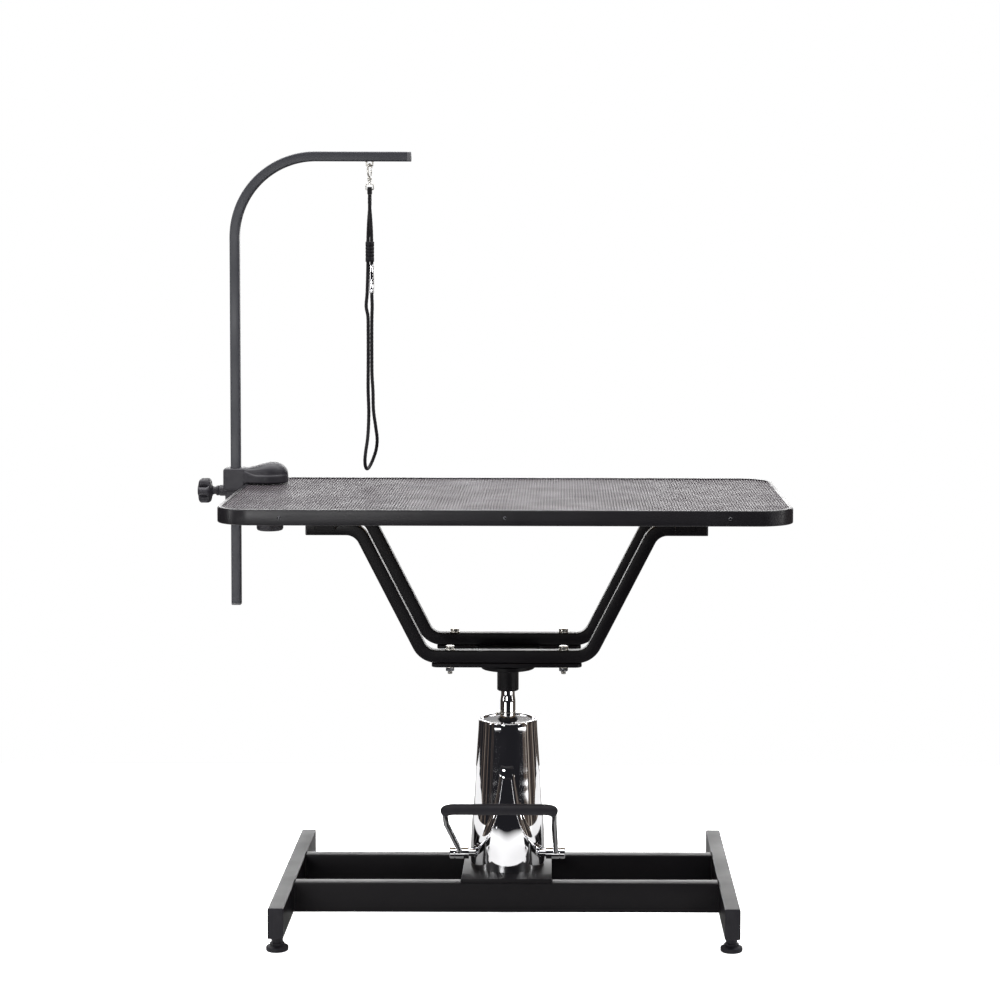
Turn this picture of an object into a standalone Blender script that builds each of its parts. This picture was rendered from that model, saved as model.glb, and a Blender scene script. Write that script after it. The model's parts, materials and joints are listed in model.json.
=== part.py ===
"""A hydraulic grooming table with a clamp-on arm and a hanging noose.

Lengths are in metres and +Z is up. X runs along the table, and -Y is the side with the foot pedal.
Every place below is measured from the pump's axis at floor level. The root empty shifts that point
along X, so that the whole table stands centred on the world origin.
"""

from math import atan2, cos, pi, radians, sin, sqrt, tan

import bmesh
import bpy
from mathutils import Matrix, Vector

GAP = 0.0003
PUMP_FROM_CENTRE = 0.050

# Table top
TOP_LENGTH = 1.100
TOP_DEPTH = 0.600
TOP_HEIGHT = 0.851
TOP_CORNER = 0.070
BAND_HEIGHT = 0.030
BAND_SHEET = 0.0016
BAND_LIP = 0.008
BAND_FOOT_LIP = 0.005
MAT_THICKNESS = 0.0022
TRIM_SCREW_X = (-0.425, 0.0, 0.425)
TRIM_HEAD_RADIUS = 0.0036
TRIM_SHANK_RADIUS = 0.0018

# Support frames under the top
FRAME_Y = 0.1025
FRAME_TUBE = 0.025
FRAME_WALL = 0.002
FRAME_TOP_Z = 0.7915
FRAME_LOW_Z = 0.539
FRAME_END_X = 0.392
FRAME_TOP_CORNER = 0.2914
FRAME_LOW_CORNER = 0.162
FRAME_BEND = 0.040
BEARER_X = 0.345
BEARER_WIDTH = 0.040
BEARER_LENGTH = 0.500
BEARER_WALL = 0.0015

# Mounting plate, bolts and hub
PLATE_HALF_LENGTH = 0.148
PLATE_STRAP = 0.030
PLATE_THICKNESS = 0.0078
PLATE_WEB = 0.060
PLATE_NOSE = 0.008
PLATE_NOTCH = 0.012
BOLT_X = 0.112
BOLT_RADIUS = 0.005
BOLT_HEXAGON = 0.0165
HUB_RADIUS = 0.0217
HUB_BOTTOM = 0.4515
FLANGE_RADIUS = 0.054
FLANGE_BOTTOM = 0.4965
FLANGE_RIM = 0.010

# Pump
ROD_RADIUS = 0.01525
ROD_NECK_RADIUS = 0.01375
ROD_BOTTOM = 0.120
ROD_TOP = 0.490
CYLINDER_RADIUS = 0.019
CYLINDER_TOP = 0.377
PUMP_FLANGE_RADIUS = 0.068
PUMP_FLANGE_HEIGHT = 0.013
SHROUD_TOP = 0.394
SHROUD_SHEET = 0.002
GLAND_RADIUS = 0.0198
PLUNGER_RADIUS = 0.006
PLUNGER_REACH = 0.020
CLIP_WIRE = 0.0009
CLIP_Z = 0.4075

# Base
BAR_LENGTH = 0.600
BAR_WIDTH = 0.030
BAR_HEIGHT = 0.059
BAR_BOTTOM = 0.030
BAR_OUTER_X = 0.450
TUBE_WALL = 0.002
RAIL_Y = 0.105
PUMP_PLATE = (0.178, 0.240, 0.008)
PLUG_FLANGE = 0.003
FOOT_INSET = 0.030
FOOT_RADIUS = 0.0215
FOOT_HEXAGON = 0.026
FOOT_COLLAR_RADIUS = 0.0112
FOOT_SCREW_TOP = 0.070

# Pedal
PEDAL_PIVOT = Vector((0.0, -0.030, 0.127))
PEDAL_REACH = 0.296
PEDAL_RISE = radians(30.5)
PEDAL_WIRE = 0.0055
PEDAL_TREAD_X = 0.1045
PEDAL_TREAD_SHIFT = -0.010
PEDAL_ROOT_X = 0.097
PEDAL_CORNER = 0.020
PEDAL_SHAFT_RADIUS = 0.008
COLLAR_RADIUS = 0.0125
COLLAR_FROM = 0.0772
COLLAR_TO = 0.116
LEVER = (0.012, 0.024, 0.008)
GRIP_RADIUS = 0.0106
GRIP_HALF = 0.084

# Arm
ARM_X = -0.573
ARM_Y = 0.190
ARM_TUBE = 0.020
ARM_WALL = 0.0015
ARM_BOTTOM = 0.594
ARM_TOP_Z = 1.530
ARM_END_X = -0.206
ARM_BEND = 0.168
ARM_TOP_CAP = 0.008
ARM_BOTTOM_CAP = 0.004

# Clamp
SOCKET_LEFT = -0.5986
SOCKET_RIGHT = -0.5508
SOCKET_HALF = 0.025
SOCKET_TOP = 0.880
SOCKET_STEP = 0.835
COLUMN_LEFT = -0.594
COLUMN_HALF = 0.017
CLAMP_BOTTOM = 0.775
JAW_THICKNESS = 0.021
HEAD_RADIUS = 0.042
HEAD_CENTRE = -0.506
HUMP_X = -0.497
HUMP_TOP = 0.8935
HEAD_SHOULDER = 0.868
CLAMP_SCREW_X = -0.5025
CLAMP_KNOB_RADIUS = 0.0278
LOWER_JAW_RADIUS = 0.026
PAD_RADIUS = 0.016
LOCK_Z = 0.834
LOCK_KNOB_RADIUS = 0.0275
LOCK_KNOB_LEFT = -0.652
LOCK_BOSS_RADIUS = 0.0115
LOCK_BOSS_X = -0.6005
SCREW_RADIUS = 0.005

# Noose
NOOSE_X = -0.2925
EYE_WIRE = 0.0015
EYE_HALF = 0.0065
EYE_Z = 1.5105
HOOK_TURN = radians(25)
HOOK_WIRE = 0.002
HOOK_ARC = 0.007
BARREL_RADIUS = 0.0048
SWIVEL_WIRE = 0.0012
SWIVEL_HALF = 0.0078
SWIVEL_BAR_Z = 1.4612
SWIVEL_TOP_Z = 1.4735
CORD_RADIUS = 0.0035
STRAND = 0.0037
KEEPER_BOTTOM = 1.312
KEEPER_TOP = 1.354
KEEPER_RADIUS = 0.009
KEEPER_BORE = 0.0077
FERRULE_BOTTOM = 1.247
FERRULE_TOP = 1.306
FERRULE_RADIUS = 0.0046
FERRULE_OFFSET = 0.0039

# The cord's centreline from one end to the other, as offsets from the noose's own vertical line.
CORD_ROUTE = (
    (0.0, -STRAND, 1.4517),
    (0.0, -STRAND, 1.430),
    (0.0025, -0.0027, 1.395),
    (STRAND, 0.0, 1.360),
    (0.0039, 0.0, 1.312),
    (0.0039, 0.0, 1.265),
    (0.0040, 0.0, 1.242),
    (0.0047, 0.0, 1.220),
    (0.0040, 0.0, 1.198),
    (STRAND, 0.0, 1.165),
    (STRAND, 0.0, 1.115),
    (0.0040, 0.0, 1.078),
    (0.0060, -0.0008, 1.043),
    (0.0070, -0.0015, 1.0035),
    (0.0114, 0.0002, 0.9685),
    (0.0140, 0.0062, 0.942),
    (0.0114, 0.0133, 0.920),
    (0.0060, 0.0168, 0.9028),
    (0.0010, 0.0155, 0.8905),
    (-0.0030, 0.0098, 0.8828),
    (-0.0060, 0.0008, 0.8800),
    (-0.0081, -0.0082, 0.8827),
    (-0.0095, -0.0144, 0.8905),
    (-0.0096, -0.0166, 0.9028),
    (-0.0079, -0.0146, 0.9199),
    (-0.0050, -0.0087, 0.942),
    (-0.0035, -0.0019, 0.9685),
    (-0.0030, 0.0015, 1.0035),
    (-0.0042, 0.0011, 1.043),
    (-0.0040, 0.0, 1.078),
    (-STRAND, 0.0, 1.115),
    (-STRAND, 0.0, 1.165),
    (-0.0042, 0.0, 1.198),
    (-0.0078, 0.0, 1.220),
    (-0.0056, 0.0, 1.250),
    (-0.0039, 0.0, 1.314),
    (-STRAND, 0.0, 1.360),
    (-0.0025, 0.0027, 1.395),
    (0.0, STRAND, 1.430),
    (0.0, STRAND, 1.4517),
)


# ---------------------------------------------------------------- scene and materials


def clear_scene():
    for obj in list(bpy.data.objects):
        bpy.data.objects.remove(obj, do_unlink=True)


def new_collection(name):
    collection = bpy.data.collections.new(name)
    bpy.context.scene.collection.children.link(collection)
    return collection


clear_scene()
PARTS = new_collection("grooming_table")
CUTTERS = new_collection("cutters")
CUTTERS.hide_render = True

ROOT = bpy.data.objects.new("table_origin", None)
PARTS.objects.link(ROOT)
ROOT.location = (PUMP_FROM_CENTRE, 0, 0)


def finish(name, colour, metallic, roughness):
    """One Principled material, made once and shared by the parts that have that finish."""
    found = bpy.data.materials.get(name)
    if found:
        return found
    material = bpy.data.materials.new(name)
    material.use_nodes = True
    shader = material.node_tree.nodes["Principled BSDF"]
    shader.inputs["Base Color"].default_value = (*colour, 1.0)
    shader.inputs["Metallic"].default_value = metallic
    shader.inputs["Roughness"].default_value = roughness
    return material


def powder_coat():
    return finish("black_powder_coat", (0.012, 0.012, 0.014), 0.0, 0.38)


def arm_coat():
    return finish("grey_black_coat", (0.030, 0.031, 0.036), 0.0, 0.45)


def chrome():
    return finish("chrome", (0.80, 0.80, 0.81), 1.0, 0.06)


def machined_steel():
    return finish("machined_steel", (0.42, 0.42, 0.43), 1.0, 0.35)


def zinc():
    return finish("zinc_plate", (0.62, 0.61, 0.58), 1.0, 0.30)


def black_screw():
    return finish("black_screw", (0.020, 0.020, 0.022), 0.8, 0.32)


def ribbed_rubber():
    return finish("ribbed_rubber", (0.075, 0.068, 0.072), 0.0, 0.62)


def grip_rubber():
    return finish("grip_rubber", (0.020, 0.020, 0.022), 0.0, 0.60)


def moulded_plastic():
    return finish("moulded_plastic", (0.022, 0.023, 0.026), 0.0, 0.48)


def grey_plastic():
    return finish("grey_plastic", (0.16, 0.16, 0.17), 0.0, 0.50)


def board_wood():
    return finish("board_wood", (0.42, 0.30, 0.19), 0.0, 0.75)


def brass():
    return finish("brass", (0.72, 0.52, 0.24), 1.0, 0.30)


def braided_cord():
    return finish("braided_cord", (0.016, 0.015, 0.017), 0.0, 0.85)


# ---------------------------------------------------------------- placing


def place_of(frame):
    """The place of a joint frame, measured from the pump's axis at floor level."""
    place = Vector()
    while frame is not ROOT:
        place += frame.location
        frame = frame.parent
    return place


def joint_frame(name, at, parent):
    frame = bpy.data.objects.new(name, None)
    PARTS.objects.link(frame)
    frame.empty_display_size = 0.03
    frame.parent = parent
    frame.location = Vector(at) - place_of(parent)
    return frame


def add_part(name, data, material, frame, at=(0, 0, 0), turn=(0, 0, 0)):
    obj = bpy.data.objects.new(name, data)
    PARTS.objects.link(obj)
    data.materials.append(material)
    obj.parent = frame
    obj.location = Vector(at) - place_of(frame)
    obj.rotation_euler = turn
    return obj


def mesh_from(name, bm):
    bmesh.ops.recalc_face_normals(bm, faces=bm.faces)
    mesh = bpy.data.meshes.new(name)
    bm.to_mesh(mesh)
    bm.free()
    return mesh


def smooth(obj, angle=35):
    obj.data.shade_smooth()
    obj.data.set_sharp_from_angle(angle=radians(angle))
    return obj


def bevel(obj, width, segments=1):
    modifier = obj.modifiers.new("edges", "BEVEL")
    modifier.width = width
    modifier.segments = segments
    modifier.angle_limit = radians(50)
    return obj


def add_cutter(name, data, at, turn=(0, 0, 0)):
    obj = bpy.data.objects.new(name, data)
    CUTTERS.objects.link(obj)
    obj.parent = ROOT
    obj.location = at
    obj.rotation_euler = turn
    obj.hide_render = True
    obj.display_type = "WIRE"
    return obj


def cut(obj, cutter, operation="DIFFERENCE"):
    modifier = obj.modifiers.new(cutter.name, "BOOLEAN")
    modifier.operation = operation
    modifier.object = cutter
    modifier.solver = "EXACT"


# ---------------------------------------------------------------- shape builders


def loft_mesh(name, loops, ring=False):
    """A closed skin through loops of points. A ring joins its last loop to its first."""
    bm = bmesh.new()
    rows = [[bm.verts.new(point) for point in loop] for loop in loops]
    pairs = list(zip(rows, rows[1:]))
    if ring:
        pairs.append((rows[-1], rows[0]))
    else:
        bm.faces.new(rows[0])
        bm.faces.new(rows[-1])
    for near, far in pairs:
        for i in range(len(near)):
            j = (i + 1) % len(near)
            bm.faces.new((near[i], near[j], far[j], far[i]))
    return mesh_from(name, bm)


def box_mesh(name, size):
    bm = bmesh.new()
    bmesh.ops.create_cube(bm, size=1.0)
    bmesh.ops.scale(bm, vec=size, verts=bm.verts)
    return mesh_from(name, bm)


def cylinder_mesh(name, radius, depth, sides=16):
    bm = bmesh.new()
    bmesh.ops.create_cone(
        bm, cap_ends=True, segments=sides, radius1=radius, radius2=radius, depth=depth
    )
    return mesh_from(name, bm)


def circle(radius):
    return lambda angle: radius


def hexagon(across_flats):
    def radius(angle):
        return across_flats / 2 / cos((angle + pi / 6) % (pi / 3) - pi / 6)

    return radius


def lobed(radius, depth, lobes):
    return lambda angle: radius - depth / 2 + depth / 2 * cos(lobes * angle)


def stacked_mesh(name, stations, sides):
    """A solid along Z from (height, outline) stations, where an outline gives a radius by angle."""
    loops = []
    for z, outline in stations:
        angles = [2 * pi * i / sides for i in range(sides)]
        loops.append([(outline(a) * cos(a), outline(a) * sin(a), z) for a in angles])
    return loft_mesh(name, loops)


def turned_part(name, profile, material, frame, at, steps=24, closed=False, turn=(0, 0, 0)):
    """A profile of (radius, height) points, running down its outer side, turned about Z."""
    bm = bmesh.new()
    verts = [bm.verts.new((radius, 0, z)) for radius, z in profile]
    for near, far in zip(verts, verts[1:]):
        bm.edges.new((near, far))
    if closed:
        bm.edges.new((verts[-1], verts[0]))
    mesh = bpy.data.meshes.new(name)
    bm.to_mesh(mesh)
    bm.free()
    obj = add_part(name, mesh, material, frame, at, turn)
    screw = obj.modifiers.new("turn", "SCREW")
    screw.steps = steps
    screw.render_steps = steps
    screw.use_merge_vertices = True
    screw.merge_threshold = 0.00001
    screw.use_smooth_shade = True
    return obj


def wire_part(name, points, radius, material, frame, at, closed=False, resolution=2):
    curve = bpy.data.curves.new(name, "CURVE")
    curve.dimensions = "3D"
    curve.bevel_depth = radius
    curve.bevel_resolution = resolution
    curve.use_fill_caps = not closed
    curve.twist_mode = "MINIMUM"
    spline = curve.splines.new("POLY")
    spline.points.add(len(points) - 1)
    for target, point in zip(spline.points, points):
        target.co = (*point, 1.0)
    spline.use_cyclic_u = closed
    return add_part(name, curve, material, frame, at)


def curve_to_mesh(curve_object):
    """Replaces a curve object by a mesh object of the same name and place, with its caps welded."""
    bpy.context.view_layer.update()
    evaluated = curve_object.evaluated_get(bpy.context.evaluated_depsgraph_get())
    mesh = bpy.data.meshes.new_from_object(evaluated)
    bm = bmesh.new()
    bm.from_mesh(mesh)
    bmesh.ops.remove_doubles(bm, verts=bm.verts, dist=0.00001)
    bmesh.ops.recalc_face_normals(bm, faces=bm.faces)
    bm.to_mesh(mesh)
    bm.free()
    name = curve_object.name
    parent = curve_object.parent
    location = curve_object.location.copy()
    bpy.data.objects.remove(curve_object, do_unlink=True)
    obj = bpy.data.objects.new(name, mesh)
    PARTS.objects.link(obj)
    obj.parent = parent
    obj.location = location
    return obj


def rounded_rectangle(width, depth, radius, steps=1):
    """Points of a rectangle about the origin, with steps pieces in each round corner."""
    points = []
    for quarter in range(4):
        sign_x = 1 if quarter in (0, 3) else -1
        sign_y = 1 if quarter < 2 else -1
        for step in range(steps + 1):
            angle = pi / 2 * (quarter + step / steps)
            x = sign_x * (width / 2 - radius) + radius * cos(angle)
            y = sign_y * (depth / 2 - radius) + radius * sin(angle)
            points.append((x, y))
    return points


def straight_tube_mesh(name, width, depth, wall, length, corner=0.003):
    """A rectangular tube along Z, centred on the origin and open at both ends."""
    outer = rounded_rectangle(width, depth, corner, 2)
    inner = rounded_rectangle(width - 2 * wall, depth - 2 * wall, corner - wall, 2)
    half = length / 2
    loops = [
        [(x, y, -half) for x, y in outer],
        [(x, y, half) for x, y in outer],
        [(x, y, half) for x, y in inner],
        [(x, y, -half) for x, y in inner],
    ]
    return loft_mesh(name, loops, ring=True)


def filleted(corners, radius, steps):
    """A path in the XZ plane with each inner corner rounded to the given radius."""
    path = [Vector(corners[0])]
    for before, corner, after in zip(corners, corners[1:], corners[2:]):
        corner = Vector(corner)
        inward = (Vector(before) - corner).normalized()
        outward = (Vector(after) - corner).normalized()
        half_angle = inward.angle(outward) / 2
        centre = corner + (inward + outward).normalized() * radius / sin(half_angle)
        start = corner + inward * radius / tan(half_angle) - centre
        sweep = pi - 2 * half_angle
        turn = 1 if inward.x * outward.y - inward.y * outward.x < 0 else -1
        for step in range(steps + 1):
            path.append(centre + Matrix.Rotation(turn * sweep * step / steps, 2) @ start)
    path.append(Vector(corners[-1]))
    return path


def swept_tube_mesh(name, path, width, wall, corner=0.003):
    """A square tube along a path in the XZ plane, open at both ends."""
    outer = rounded_rectangle(width, width, corner)
    inner = rounded_rectangle(width - 2 * wall, width - 2 * wall, corner - wall)
    pieces = [(far - near).normalized() for near, far in zip(path, path[1:])]
    stations = []
    for point, before, after in zip(path, [pieces[0], *pieces], [*pieces, pieces[-1]]):
        along = (before + after).normalized()
        stations.append((point, Vector((-along.y, along.x)) / cos(before.angle(after) / 2)))

    def loop(station, section):
        point, side = station
        return [(point.x + side.x * u, v, point.y + side.y * u) for u, v in section]

    loops = [loop(station, outer) for station in stations]
    loops += [loop(station, inner) for station in reversed(stations)]
    return loft_mesh(name, loops, ring=True)


def plug_mesh(name, width, depth, flange, wall, insert=0.014, corner=0.003):
    """A tube plug along Z: a flange below the origin and an insert above it."""
    gap = wall + 0.0004
    outer = rounded_rectangle(width, depth, corner, 2)
    inner = rounded_rectangle(width - 2 * gap, depth - 2 * gap, 0.002, 2)
    loops = [
        [(x, y, -flange) for x, y in outer],
        [(x, y, 0) for x, y in outer],
        [(x, y, 0) for x, y in inner],
        [(x, y, insert) for x, y in inner],
    ]
    return loft_mesh(name, loops)


def smooth_route(points, samples):
    """Points on a Catmull-Rom curve through the route's own points."""
    points = [Vector(point) for point in points]
    padded = [2 * points[0] - points[1], *points, 2 * points[-1] - points[-2]]
    route = []
    for p0, p1, p2, p3 in zip(padded, padded[1:], padded[2:], padded[3:]):
        count = samples if (p2 - p1).length > 0.018 else 1
        for step in range(count):
            t = step / count
            route.append(
                0.5 * (2 * p1 + (p2 - p0) * t + (2 * p0 - 5 * p1 + 4 * p2 - p3) * t**2
                       + (3 * p1 - p0 - 3 * p2 + p3) * t**3)
            )
    route.append(points[-1])
    return route


# ---------------------------------------------------------------- base


def base_bar(name, side):
    length = BAR_LENGTH - 2 * PLUG_FLANGE - 2 * GAP
    mesh = straight_tube_mesh(name, BAR_WIDTH, BAR_HEIGHT, TUBE_WALL, length)
    at = (side * (BAR_OUTER_X - BAR_WIDTH / 2), 0, BAR_BOTTOM + BAR_HEIGHT / 2)
    bar = smooth(add_part(name, mesh, powder_coat(), ROOT, at, (pi / 2, 0, 0)))
    for end in (-1, 1):
        hole = cylinder_mesh("foot_hole", SCREW_RADIUS + 0.0005, 0.02)
        place = (at[0], end * (BAR_LENGTH / 2 - FOOT_INSET), BAR_BOTTOM)
        cut(bar, add_cutter(f"{name}_foot_hole_{end}", hole, place))


def bar_plug(name, side, end):
    mesh = plug_mesh(name, BAR_WIDTH, BAR_HEIGHT, PLUG_FLANGE, TUBE_WALL)
    x = side * (BAR_OUTER_X - BAR_WIDTH / 2)
    at = (x, end * (BAR_LENGTH / 2 - PLUG_FLANGE), BAR_BOTTOM + BAR_HEIGHT / 2)
    add_part(name, mesh, moulded_plastic(), ROOT, at, (end * pi / 2, 0, 0))


def base_rail(name, y):
    length = 2 * (BAR_OUTER_X - BAR_WIDTH - GAP)
    mesh = straight_tube_mesh(name, BAR_HEIGHT, BAR_WIDTH, TUBE_WALL, length)
    at = (0, y, BAR_BOTTOM + BAR_HEIGHT / 2)
    smooth(add_part(name, mesh, powder_coat(), ROOT, at, (0, pi / 2, 0)))


def levelling_foot(name, side, end):
    x = side * (BAR_OUTER_X - BAR_WIDTH / 2)
    y = end * (BAR_LENGTH / 2 - FOOT_INSET)
    frame = joint_frame(f"{name}_slide", (x, y, 0), ROOT)
    stations = (
        (0.0, circle(FOOT_RADIUS - 0.002)),
        (0.0015, circle(FOOT_RADIUS)),
        (0.0085, circle(FOOT_RADIUS)),
        (0.0095, hexagon(FOOT_HEXAGON + 0.009)),
        (0.0165, hexagon(FOOT_HEXAGON)),
        (0.0180, circle(FOOT_COLLAR_RADIUS)),
        (BAR_BOTTOM - GAP, circle(FOOT_COLLAR_RADIUS)),
        (BAR_BOTTOM - GAP + 0.0001, circle(SCREW_RADIUS)),
        (FOOT_SCREW_TOP, circle(SCREW_RADIUS)),
    )
    smooth(add_part(name, stacked_mesh(name, stations, 18), grip_rubber(), frame, (x, y, 0)))


def build_base():
    for side_name, side in (("left", -1), ("right", 1)):
        base_bar(f"base_bar_{side_name}", side)
        for end_name, end in (("front", -1), ("rear", 1)):
            bar_plug(f"bar_plug_{side_name}_{end_name}", side, end)
            levelling_foot(f"foot_{side_name}_{end_name}", side, end)
    base_rail("base_rail_front", -RAIL_Y)
    base_rail("base_rail_rear", RAIL_Y)


# ---------------------------------------------------------------- pump

PLATE_TOP = BAR_BOTTOM + BAR_HEIGHT + GAP + PUMP_PLATE[2]
PUMP_FLOOR = PLATE_TOP + GAP


def pump_base_plate():
    plate = box_mesh("pump_base_plate", PUMP_PLATE)
    at = (0, 0, PLATE_TOP - PUMP_PLATE[2] / 2)
    bevel(add_part("pump_base_plate", plate, powder_coat(), ROOT, at), 0.001)


def pump_cylinder():
    bore = ROD_RADIUS + 0.0004
    step = PUMP_FLOOR + PUMP_FLANGE_HEIGHT
    profile = (
        (0, PUMP_FLOOR + 0.005),
        (bore, PUMP_FLOOR + 0.005),
        (bore, CYLINDER_TOP),
        (CYLINDER_RADIUS, CYLINDER_TOP),
        (CYLINDER_RADIUS, step),
        (PUMP_FLANGE_RADIUS, step),
        (PUMP_FLANGE_RADIUS, PUMP_FLOOR),
        (0, PUMP_FLOOR),
    )
    body = turned_part("pump_cylinder", profile, machined_steel(), ROOT, (0, 0, 0), 32)
    pocket = cylinder_mesh("plunger_pocket", PLUNGER_RADIUS + 0.0004, 0.022)
    place = (0, PEDAL_PIVOT.y - PLUNGER_REACH, PUMP_FLOOR + 0.0015 + 0.011)
    cut(body, add_cutter("plunger_pocket", pocket, place))


def shroud_radius(z):
    """The shroud's main radius: nearly straight below, then tapering to the top."""
    knots = (
        (0.090, 0.0755), (0.130, 0.0752), (0.180, 0.0735),
        (0.220, 0.0692), (0.300, 0.0640), (0.400, 0.0580),
    )
    for (z0, r0), (z1, r1) in zip(knots, knots[1:]):
        if z <= z1:
            return r0 + (r1 - r0) * (z - z0) / (z1 - z0)
    return knots[-1][1]


def shroud_loop(z, half_width, front):
    """One ring of the shroud: its main circle, with a narrower arc standing forward at the front."""
    radius = shroud_radius(z)
    edge = sqrt(radius**2 - half_width**2)
    rise = max(front, radius) - edge
    nose = (half_width**2 + rise**2) / (2 * rise)
    centre = edge + rise - nose
    half_angle = atan2(half_width, edge - centre)
    loop = []
    for step in range(8):
        angle = half_angle * (step / 4 - 1)
        loop.append((nose * sin(angle), -centre - nose * cos(angle), z))
    start = atan2(half_width, edge)
    for step in range(20):
        angle = start + (2 * pi - 2 * start) * step / 20
        loop.append((radius * sin(angle), -radius * cos(angle), z))
    return loop


def pump_shroud():
    rings = (
        (PUMP_FLOOR, 0.0700, 0.0), (0.122, 0.0690, 0.0755), (0.140, 0.0560, 0.0762),
        (0.160, 0.0440, 0.0762), (0.190, 0.0325, 0.0748), (0.221, 0.0248, 0.0728),
        (0.260, 0.0188, 0.0700), (0.292, 0.0150, 0.0676), (0.302, 0.0140, 0.0),
        (0.340, 0.0140, 0.0), (SHROUD_TOP - 0.003, 0.0140, 0.0),
    )
    loops = [shroud_loop(z, half_width, front) for z, half_width, front in rings]
    rim = [Vector(point) for point in loops[-1]]
    for scale, z in ((0.97, SHROUD_TOP - 0.0008), (0.93, SHROUD_TOP), (0.36, SHROUD_TOP)):
        loops.append([(p.x * scale, p.y * scale, z) for p in rim])
    bm = bmesh.new()
    rows = [[bm.verts.new(point) for point in loop] for loop in loops]
    for near, far in zip(rows, rows[1:]):
        for i in range(len(near)):
            j = (i + 1) % len(near)
            bm.faces.new((near[i], near[j], far[j], far[i]))
    shroud = add_part("pump_shroud", mesh_from("pump_shroud", bm), chrome(), ROOT)
    shell = shroud.modifiers.new("sheet", "SOLIDIFY")
    shell.thickness = SHROUD_SHEET
    shell.offset = -1.0
    for side in (-1, 1):
        hole = cylinder_mesh("shaft_hole", PEDAL_SHAFT_RADIUS + 0.001, 0.04)
        place = (side * 0.070, PEDAL_PIVOT.y, PEDAL_PIVOT.z)
        cut(shroud, add_cutter(f"shaft_hole_{side}", hole, place, (0, pi / 2, 0)))
    smooth(shroud, 30)


def pump_gland():
    """The ring that guides the rod at the top of the cylinder."""
    bore = ROD_RADIUS + 0.0004
    profile = (
        (bore, SHROUD_TOP + 0.0025),
        (GLAND_RADIUS - 0.0008, SHROUD_TOP + 0.0025),
        (GLAND_RADIUS, SHROUD_TOP - 0.0040),
        (GLAND_RADIUS, CYLINDER_TOP + GAP),
        (bore, CYLINDER_TOP + GAP),
    )
    turned_part("pump_gland", profile, grip_rubber(), ROOT, (0, 0, 0), closed=True)


def build_pump():
    pump_base_plate()
    pump_cylinder()
    pump_shroud()
    pump_gland()


# ---------------------------------------------------------------- pedal


PEDAL_FORWARD = Vector((0, -cos(PEDAL_RISE), sin(PEDAL_RISE)))


def pedal_side(side):
    """One side of the pedal wire's centreline, from its end in the collar to the tread."""
    tread = PEDAL_TREAD_SHIFT + side * (PEDAL_TREAD_X - PEDAL_CORNER)
    flat = [(side * PEDAL_ROOT_X, 0.0), (side * PEDAL_ROOT_X, 0.03)]
    flat.append((PEDAL_TREAD_SHIFT + side * PEDAL_TREAD_X, 0.20))
    for step in range(6):
        angle = pi / 2 * step / 5
        reach = PEDAL_REACH - PEDAL_CORNER + PEDAL_CORNER * sin(angle)
        flat.append((tread + side * PEDAL_CORNER * cos(angle), reach))
    return [Vector((x, 0, 0)) + PEDAL_FORWARD * reach for x, reach in flat]


def pedal_shaft(frame):
    profile = (
        (0, COLLAR_TO),
        (COLLAR_RADIUS - 0.001, COLLAR_TO),
        (COLLAR_RADIUS, COLLAR_TO - 0.001),
        (COLLAR_RADIUS, COLLAR_FROM),
        (PEDAL_SHAFT_RADIUS, COLLAR_FROM),
        (PEDAL_SHAFT_RADIUS, -COLLAR_FROM),
        (COLLAR_RADIUS, -COLLAR_FROM),
        (COLLAR_RADIUS, -COLLAR_TO + 0.001),
        (COLLAR_RADIUS - 0.001, -COLLAR_TO),
        (0, -COLLAR_TO),
    )
    turn = (0, pi / 2, 0)
    shaft = turned_part("pedal_shaft", profile, chrome(), frame, PEDAL_PIVOT, 20, turn=turn)
    lever = box_mesh("pump_lever", LEVER)
    cut(shaft, add_cutter("pump_lever", lever, PEDAL_PIVOT - Vector((0, LEVER[1] / 2, 0))), "UNION")
    for side in (-1, 1):
        socket = cylinder_mesh("pedal_socket", PEDAL_WIRE + 0.0005, 0.04)
        place = PEDAL_PIVOT + Vector((side * PEDAL_ROOT_X, 0, 0)) + PEDAL_FORWARD * 0.014
        turn = (pi / 2 - PEDAL_RISE, 0, 0)
        cut(shaft, add_cutter(f"pedal_socket_{side}", socket, place, turn))


def pedal_grip(frame):
    """A rubber sleeve round the straight front stretch of the pedal wire."""
    bore = PEDAL_WIRE + 0.0005
    profile = (
        (bore, GRIP_HALF),
        (GRIP_RADIUS - 0.003, GRIP_HALF),
        (GRIP_RADIUS, GRIP_HALF - 0.003),
        (GRIP_RADIUS, -GRIP_HALF + 0.003),
        (GRIP_RADIUS - 0.003, -GRIP_HALF),
        (bore, -GRIP_HALF),
    )
    at = PEDAL_PIVOT + PEDAL_FORWARD * PEDAL_REACH + Vector((PEDAL_TREAD_SHIFT, 0, 0))
    turned_part("pedal_grip", profile, grip_rubber(), frame, at, 20, True, (0, pi / 2, 0))


def pump_plunger():
    at = (0, PEDAL_PIVOT.y - PLUNGER_REACH, 0)
    frame = joint_frame("pump_plunger_slide", at, ROOT)
    profile = (
        (0, PEDAL_PIVOT.z - 0.0050),
        (PLUNGER_RADIUS, PEDAL_PIVOT.z - 0.0055),
        (PLUNGER_RADIUS, PUMP_FLOOR + 0.0100),
        (0, PUMP_FLOOR + 0.0100),
    )
    turned_part("pump_plunger", profile, machined_steel(), frame, at, 16)


def build_pedal():
    frame = joint_frame("pedal_pivot", PEDAL_PIVOT, ROOT)
    wire = pedal_side(1) + pedal_side(-1)[::-1]
    wire_part("pedal_bar", wire, PEDAL_WIRE, chrome(), frame, PEDAL_PIVOT, resolution=3)
    pedal_shaft(frame)
    pedal_grip(frame)
    pump_plunger()


# ---------------------------------------------------------------- piston


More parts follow.
